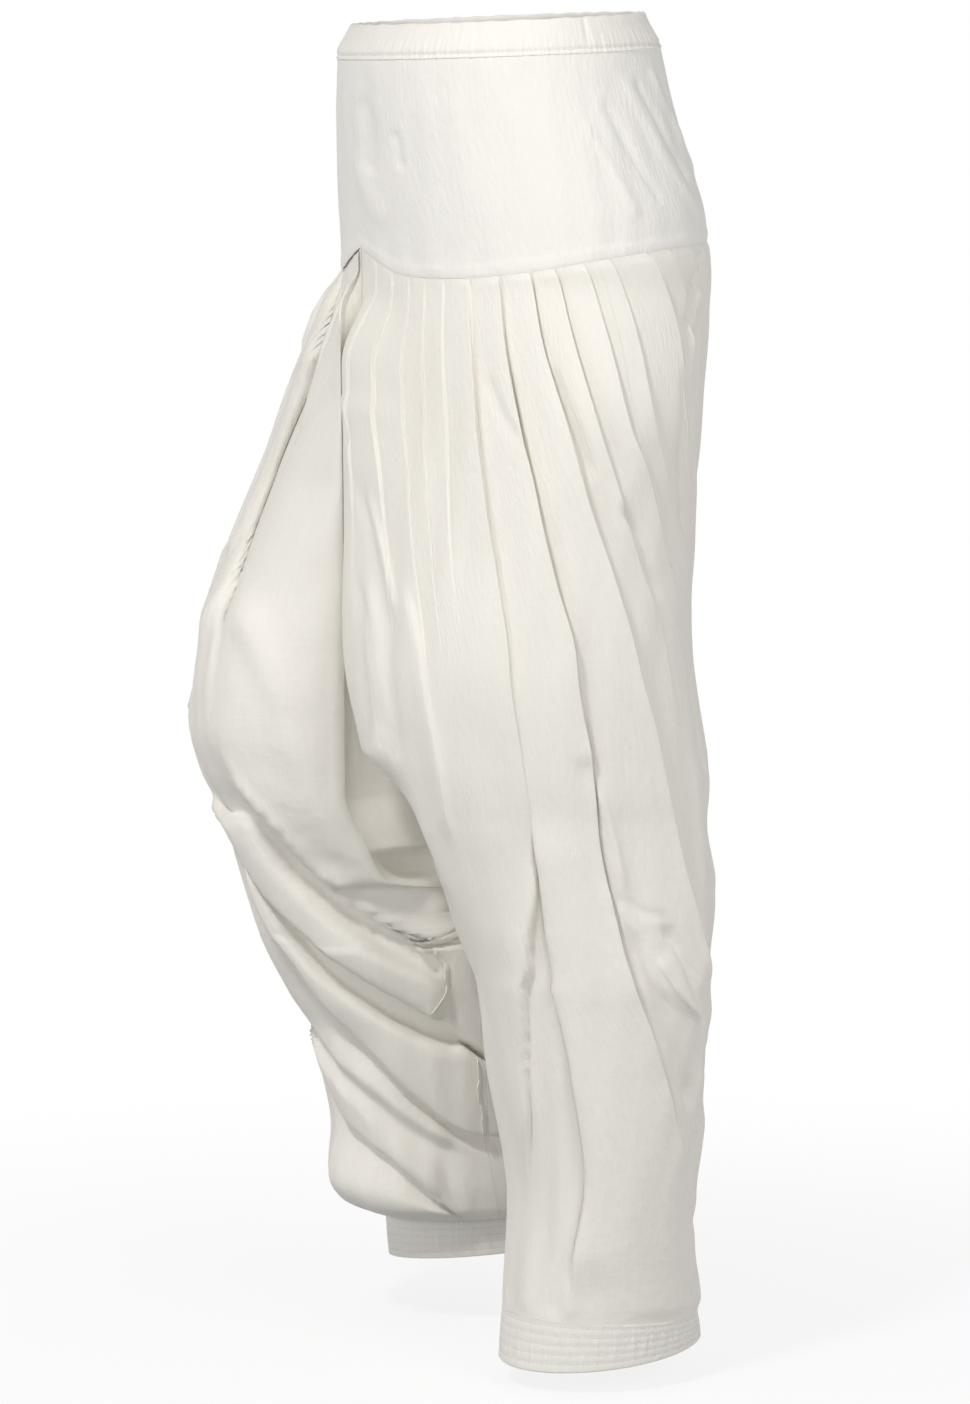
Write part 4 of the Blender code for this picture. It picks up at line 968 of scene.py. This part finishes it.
def build_leg(leg, cloth):
    """The front and back panel of one leg."""
    seam = leg["side_seam"]
    marks = np.concatenate([[0], np.cumsum([row[1] for row in leg["rows"]])])
    starts = [*(row[0] / 1000 for row in leg["rows"]), leg["cuff"]["top_drop"]]
    for part, low, high, rows in (("front", 0.0, seam - SEAM_SHARE, FRONT_ROWS),
                                  ("back", seam + SEAM_SHARE, 1.0, BACK_ROWS)):
        node = f"{leg['name']}_leg_{part}"
        levels = np.interp(np.linspace(0, marks[-1], rows), marks, starts)
        places = panel_places(leg, low, high)
        grid, angle, drop = leg_cloth(leg, places, levels)
        grid[0, :, 2] -= SEAM_GAP / 2
        grid[-1, :, 2] += SEAM_GAP / 2
        # the two edges of the inseam stand a gap apart
        under = levels > CROTCH_DROP
        ribbons = []
        if part == "front":
            grid[under, 0, 1] -= SEAM_GAP
            ribbons = [build_ribbon(f"{leg['name']}_seam_ribbon_{k}", node, row, grid, angle,
                                    drop, cloth) for k, row in enumerate(leg["ribbons"])]
        else:
            grid[under, -1, 1] += SEAM_GAP
        across = places * MAP_WIDTH * leg["side"]
        piece = cloth_piece(node, grid[:, ::leg["side"]], across[::leg["side"]], levels, cloth)


def build_ribbon(name, node, row, grid, angle, drop, cloth):
    """A turned-out seam allowance: a thin double strip that stands on the leg's cloth."""
    ribbon = in_metres(RIBBON_COLUMNS, row)
    line = smooth_line(ribbon["line"], RIBBON_STEPS)
    inner = slice(1, -1)
    found = []
    for turn, level in line:
        far = (within_turn(angle[inner, inner] - turn) * RIBBON_DEGREE) ** 2
        far += (drop[inner, inner] - level) ** 2
        r, c = np.unravel_index(np.argmin(far), far.shape)
        r, c = r + 1, c + 1
        out = np.cross(grid[r, c + 1] - grid[r, c - 1], grid[r + 1, c] - grid[r - 1, c])
        out /= np.linalg.norm(out) * (1 if out[0] > 0 else -1)
        found.append((grid[r, c], out))
    found = np.array(found)
    soft = np.array([found[max(k - 4, 0):k + 5].mean(0) for k in range(len(found))])
    base, out = soft[:, 0], soft[:, 1]
    out /= np.linalg.norm(out, axis=1)[:, None]
    ahead = np.gradient(base, axis=0)
    ahead /= np.linalg.norm(ahead, axis=1)[:, None]
    over = np.cross(ahead, out)
    place = np.linspace(0, 1, len(base))[:, None]
    thick = ease(place / 0.08) * ease((1 - place) / 0.08)
    wave = 1 + 0.25 * np.sin(place * 31) * np.sin(place * 13 + 1)
    columns = []
    for share, rise in RIBBON_SECTION:
        rise = rise * thick - 0.15 * (1 - thick)
        columns.append(base + over * ribbon["lies"] * share * thick * wave
                       + out * ribbon["stands"] * rise * wave)
    across = np.linspace(0, RIBBON_WIDTH, len(columns))
    piece = add_sheet(name, np.stack(columns, 1), across, line[:, 1], cloth)
    add_wall(piece, RIBBON_WALL, 0)
    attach(piece, "root")
    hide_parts(node)
    return piece


def half_round(front, radius, count):
    """Angles round the front or the back half of the body, from side seam to side seam."""
    short = np.degrees(SEAM_GAP / 2 / radius)
    return np.linspace(-90 + short, 90 - short, count) + (0 if front else 180)


def outward(angles):
    """Level directions out from the body."""
    return np.stack([np.sin(np.radians(angles)), -np.cos(np.radians(angles))], -1)


def build_yoke(front, cloth):
    """One half of the yoke, from the casing down to the pleated seam."""
    node = "yoke_front" if front else "yoke_back"
    angles = half_round(front, YOKE_RADIUS, YOKE_COLUMN_COUNT)
    shares = np.concatenate([np.linspace(0, 0.95, YOKE_ROWS), np.linspace(0.96, 1, YOKE_EDGE_ROWS)])
    foot = yoke_seam_drop(within_turn(angles)) - SEAM_GAP / 2
    top = waist_drop(angles) + CASING_HEIGHT + SEAM_GAP
    drops = top + shares[:, None] * (foot - top)
    turn = np.repeat(within_turn(angles)[None], len(shares), 0)
    grid = body_ring(turn, drops)
    metres = np.full(drops.shape, np.radians(YOKE_FOLD_RADIUS))
    height, _, _ = stroke_fields(YOKE_STROKES, turn, drops, metres)
    height += YOKE_UNREST * soft_waves(np.radians(turn) * YOKE_FOLD_RADIUS, drops, YOKE_SEED)
    fade = ease(shares / 0.08) * ease((1 - shares) / 0.06)
    # the seam allowance under the foot of the yoke lifts its edge a little
    lip = YOKE_LIP * ease((shares - 0.93) / 0.03) * (1 - 0.6 * ease((shares - 0.985) / 0.015))
    height = height * fade[:, None] + lip[:, None]
    grid[..., :2] += outward(turn) * height[..., None]
    down = shares * (YOKE_DROP - WAIST_DIP - CASING_HEIGHT)
    piece = cloth_piece(node, grid, np.radians(angles) * YOKE_RADIUS, down, cloth)


def waist_drop(angles):
    """How far the top of the waistband dips, most at the front."""
    return WAIST_DIP + WAIST_TILT * np.cos(np.radians(angles))


def band_ring(angles, share, offset):
    """Points on the waistband at a share of its height, set out from the body."""
    drops = waist_drop(angles) + CASING_HEIGHT * share
    # the casing stands more upright than the body below it
    ring = body_ring(angles, drops * (0.35 + 0.65 * share))
    ring[:, 2] = -drops
    ring[:, :2] += outward(angles) * np.reshape(offset, (-1, 1))
    return ring


def band_face(angles, share):
    """The casing's outer face: a soft roll, with puckers along its stitches."""
    around = np.radians(angles)
    pucker = np.sin(around * 150 + 2 * np.sin(around * 23)) * np.sin(around * 41 + 1)
    roll = BAND_BULGE * (0.4 + 2.6 * share * (1 - share))
    roll -= BAND_GROOVE * bell(share - BAND_STITCH_ROW, 0.05)
    seam = BAND_SEAM * bell(angles - BAND_SEAM_ANGLE, 0.8) * ease((0.85 - share) / 0.3)
    return band_ring(angles, share, roll - seam + BAND_PUCKER * pucker * ease((share - 0.25) / 0.4))


def build_waistband(front, cloth, thread):
    """One half of the casing, from inside over its crest to its foot, and its stitches."""
    node = "waistband_front" if front else "waistband_back"
    angles = half_round(front, BAND_RADIUS, BAND_COLUMN_COUNT)
    rows = []
    for share, inward, rise in BAND_FOLD[::-1]:
        ring = band_ring(angles, share, -inward / 1000)
        ring[:, 2] += rise / 1000
        rows.append(ring)
    grid = np.array([*rows, *(band_face(angles, share) for share in BAND_SHARES)])
    shares = np.array([*(row[0] for row in BAND_FOLD[::-1]), *BAND_SHARES])
    wave = BAND_WAVE * np.sin(np.radians(angles) * 31 + np.sin(np.radians(angles) * 7) * 2)
    grid[..., 2] += (1 - ease(shares / 0.5))[:, None] * wave
    piece = cloth_piece(node, grid, np.radians(angles) * BAND_RADIUS, running_length(grid[:, 0]),
                        cloth, wall=LAYER)
    line = band_face(angles, BAND_STITCH_ROW)
    stitches = stitch_piece(node, [(line, outward(angles))], thread)


def stitch_piece(node, lines, thread):
    """Short thread stitches along each line of a surface, as small rounded rods."""
    sides = np.arange(STITCH_SIDES)
    turns = sides * 2 * np.pi / STITCH_SIDES
    last = (len(STITCH_SECTIONS) - 1) * STITCH_SIDES
    rod = [(s + a, s + (a + 1) % STITCH_SIDES, s + STITCH_SIDES + (a + 1) % STITCH_SIDES,
            s + STITCH_SIDES + a) for s in range(0, last, STITCH_SIDES) for a in sides]
    rod += [sides[::-1], last + sides]
    points = []
    faces = []
    for line, out in lines:
        place = running_length(line)
        for k in range(int(place[-1] / STITCH_PITCH)):
            faces += [tuple(int(len(points) + corner) for corner in face) for face in rod]
            for t, size, sink in STITCH_SECTIONS:
                at = (k + 0.5 + t) * STITCH_PITCH
                centre = np.array([np.interp(at, place, column) for column in line.T])
                away = np.array([*(np.interp(at, place, column) for column in out.T), 0])
                centre += away * sink / 1000
                for turn in turns:
                    spoke = np.cos(turn) * away + np.sin(turn) * np.array((0, 0, 1))
                    points.append(tuple(centre + size / 1000 * spoke))
    piece = add_mesh("stitches_" + node, points, faces, thread)
    piece.data.shade_smooth()
    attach(piece, "root")
    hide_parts(node)
    return piece


def cuff_ring(leg, turn, share):
    """Points round a cuff at a share of its height, and the directions out from them."""
    cuff = leg["cuff"]
    wide, deep, tilt, sway = [cuff[name] + share * (cuff["hem_" + name] - cuff[name])
                              for name in ("half_width", "half_depth", "tilt", "sway")]
    x = leg["side"] * (cuff["centre_x"] + wide * np.cos(turn))
    y = cuff["centre_y"] + deep * np.sin(turn)
    z = tilt * np.sin(turn) + sway * np.cos(turn)
    z -= cuff["top_drop"] + SEAM_GAP / 2 + share * cuff["height"]
    out = np.stack([leg["side"] * np.cos(turn) * deep, np.sin(turn) * wide], -1)
    out /= np.linalg.norm(out, axis=1)[:, None]
    return np.stack([x, y, z], -1), out


def cuff_face(leg, turn, share):
    """Points and directions out on a cuff's outer face, with its grooves and puckers."""
    seed = leg["seed"]
    pucker = np.sin(turn * 61 + 2 * np.sin(turn * 9 + seed)) * np.sin(turn * 17 + seed)
    relief = CUFF_PUCKER * pucker * np.sin(np.pi * share)
    for row in CUFF_STITCH_ROWS:
        relief -= CUFF_GROOVE * bell(share - row, 0.035)
    ring, out = cuff_ring(leg, turn, share)
    ring[:, :2] += out * relief[:, None]
    return ring, out


def build_cuff(leg, cloth, thread):
    """One cuff, turned up inside at its hem, and its rows of stitches."""
    node = leg["name"] + "_cuff"
    turn = np.linspace(0, 2 * np.pi, CUFF_COLUMN_COUNT + 1)
    rows = [cuff_face(leg, turn[:-1], share)[0] for share in np.linspace(0, 1, CUFF_ROW_COUNT)]
    for share, inward in CUFF_HEM_FOLD:
        ring, out = cuff_ring(leg, turn[:-1], share)
        ring[:, :2] -= out * inward / 1000
        rows.append(ring)
    grid = np.array(rows)[:, ::leg["side"]]
    across = np.linspace(0, CUFF_GIRTH, CUFF_COLUMN_COUNT + 1)
    piece = cloth_piece(node, grid, across, running_length(grid[:, 0]), cloth,
                        wall=LAYER, closed=True)
    lines = [cuff_face(leg, turn, row) for row in CUFF_STITCH_ROWS]
    stitches = stitch_piece(node, lines, thread)


def new_material(name):
    """A material, its node tree and its shader."""
    material = bpy.data.materials.new(name)
    material.use_nodes = True
    return material, material.node_tree, material.node_tree.nodes["Principled BSDF"]


def connect(tree, node, inputs):
    """Give inputs of a node their values, or link them to outputs of other nodes."""
    for name, value in inputs.items():
        if isinstance(value, bpy.types.NodeSocket):
            tree.links.new(value, node.inputs[name])
        else:
            node.inputs[name].default_value = value


def add_node(tree, kind, inputs):
    """A new shader node with these inputs."""
    node = tree.nodes.new("ShaderNode" + kind)
    connect(tree, node, inputs)
    return node


def colour_ramp(tree, factor, stops):
    """Colours by a factor, from stops of a place and a colour."""
    ramp = add_node(tree, "ValToRGB", {"Fac": factor})
    for element, (place, colour) in zip(ramp.color_ramp.elements, stops):
        element.position = place
        element.color = (*colour, 1)
    return ramp.outputs["Color"]


def smooth_range(tree, value, limits):
    """A value eased from its own limits, the first two, to new ones."""
    node = tree.nodes.new("ShaderNodeMapRange")
    node.interpolation_type = "SMOOTHSTEP"
    names = ("From Min", "From Max", "To Min", "To Max")
    connect(tree, node, {"Value": value, **dict(zip(names, limits))})
    return node.outputs["Result"]


def cloth_material(name, colour, slub, rough):
    """Crepe cloth: uneven upright threads, a few cross slubs and a fine grain."""
    material, tree, shader = new_material(name)
    where = tree.nodes.new("ShaderNodeTexCoord")

    def noise(across, down, detail):
        mapping = add_node(tree, "Mapping", {"Vector": where.outputs["UV"],
                                             "Scale": (across, down, 1)})
        texture = add_node(tree, "TexNoise", {"Vector": mapping.outputs["Vector"], "Scale": 1,
                                              "Detail": detail})
        return texture.outputs["Fac"]

    def blend(first, second, share):
        mix = tree.nodes.new("ShaderNodeMix")
        mix.data_type = "FLOAT"
        connect(tree, mix, {"Factor": share, "A": first, "B": second})
        return mix.outputs["Result"]

    threads = blend(noise(900, 22, 3), noise(45, 800, 2), 0.35)
    grain = noise(1500, 1500, 2)
    blotches = noise(18, 14, 2)
    crinkles = noise(260, 90, 3)
    tone = blend(blend(threads, grain, 0.25), blotches, 0.25)
    dark = [c * (1 - slub) for c in colour]
    light = [min(c * (1 + slub * 0.5), 0.97) for c in colour]
    creases = add_node(tree, "Bump", {"Strength": 0.6, "Distance": 0.0012, "Height": crinkles})
    bump = add_node(tree, "Bump", {"Strength": 0.5, "Distance": 0.0006,
                                   "Height": blend(threads, grain, 0.5),
                                   "Normal": creases.outputs["Normal"]})
    connect(tree, shader, {"Base Color": colour_ramp(tree, tone, ((0.32, dark), (0.68, light))),
                           "Normal": bump.outputs["Normal"], "Roughness": rough,
                           "Specular IOR Level": 0.35, "Sheen Weight": 0.08,
                           "Sheen Roughness": 0.4})
    return material


def thread_material():
    """Pale thread, a little uneven."""
    material, tree, shader = new_material("thread")
    where = tree.nodes.new("ShaderNodeTexCoord")
    texture = add_node(tree, "TexNoise", {"Vector": where.outputs["Object"], "Scale": 900})
    stops = ((0, (0.60, 0.58, 0.52)), (1, (0.82, 0.80, 0.74)))
    connect(tree, shader, {"Base Color": colour_ramp(tree, texture.outputs["Fac"], stops),
                           "Roughness": 0.6})
    return material


def floor_material():
    """Pale near the pants, and glowing white further off."""
    material, tree, shader = new_material("floor")
    where = tree.nodes.new("ShaderNodeTexCoord")
    length = tree.nodes.new("ShaderNodeVectorMath")
    length.operation = "LENGTH"
    connect(tree, length, {0: where.outputs["Object"]})
    glow = smooth_range(tree, length.outputs["Value"], (0.35, 1.5, 0.62, 1.0))
    fade = tree.nodes.new("ShaderNodeMix")
    fade.data_type = "RGBA"
    connect(tree, fade, {"Factor": glow, "A": (0.93, 0.93, 0.93, 1), "B": (0, 0, 0, 1)})
    connect(tree, shader, {"Base Color": fade.outputs["Result"], "Emission Strength": glow,
                           "Emission Color": (1, 1, 1, 1), "Roughness": 0.9,
                           "Specular IOR Level": 0.0})
    return material


def build_world():
    """A surround that is white at eye level and darker above and below."""
    world = bpy.data.worlds.new("studio")
    world.use_nodes = True
    tree = world.node_tree
    where = tree.nodes.new("ShaderNodeTexCoord")
    parts = add_node(tree, "SeparateXYZ", {"Vector": where.outputs["Generated"]})
    away = tree.nodes.new("ShaderNodeMath")
    away.operation = "ABSOLUTE"
    connect(tree, away, {0: parts.outputs["Z"]})
    strength = smooth_range(tree, away.outputs["Value"], (0.10, 0.45, 1.0, SKY))
    connect(tree, tree.nodes["Background"], {"Color": (1, 1, 1, 1), "Strength": strength})
    bpy.context.scene.world = world


def build_light(name, place, aim, size, power):
    """A square area light."""
    light = bpy.data.lights.new(name, "AREA")
    light.shape = "SQUARE"
    light.size = size
    light.energy = power
    light.color = LIGHT_COLOUR
    lamp = bpy.data.objects.new(name, light)
    lamp.location = place
    lamp.rotation_euler = (Vector(aim) - Vector(place)).to_track_quat("-Z", "Y").to_euler()
    bpy.context.scene.collection.objects.link(lamp)


def build_stage():
    """A pale floor that melts into a white surround, and soft studio light."""
    corners = [(-40, -40, FLOOR), (40, -40, FLOOR), (40, 40, FLOOR), (-40, 40, FLOOR)]
    floor = add_mesh("floor", corners, [(0, 1, 2, 3)], floor_material())
    floor.visible_diffuse = False
    build_world()
    bpy.context.scene.view_settings.view_transform = "Standard"
    for row in LIGHTS:
        build_light(*row)


def build_camera():
    """The photograph's own view."""
    azimuth = np.radians(AZIMUTH)
    elevation = np.radians(ELEVATION)
    back = Vector((np.sin(azimuth) * np.cos(elevation), -np.cos(azimuth) * np.cos(elevation),
                   np.sin(elevation)))
    camera = bpy.data.cameras.new("camera")
    camera.lens = LENS
    eye = bpy.data.objects.new("camera", camera)
    eye.location = Vector(TARGET) + DISTANCE * back
    eye.rotation_euler = back.to_track_quat("Z", "Y").to_euler()
    bpy.context.scene.collection.objects.link(eye)
    bpy.context.scene.camera = eye


def build_scene():
    """All the pieces in turn, then the floor, the light and the camera."""
    leg_material = cloth_material("leg_crepe", (0.826, 0.799, 0.742), 0.045, 0.62)
    yoke_material = cloth_material("yoke_crepe", (0.83, 0.81, 0.77), 0.035, 0.66)
    band_material = cloth_material("band_crepe", (0.83, 0.805, 0.76), 0.04, 0.68)
    thread = thread_material()
    build_leg(LEFT, leg_material)
    build_leg(RIGHT, leg_material)
    for front in (True, False):
        build_yoke(front, yoke_material)
        build_waistband(front, band_material, thread)
    build_cuff(LEFT, band_material, thread)
    build_cuff(RIGHT, band_material, thread)
    build_stage()
    build_camera()


build_scene()
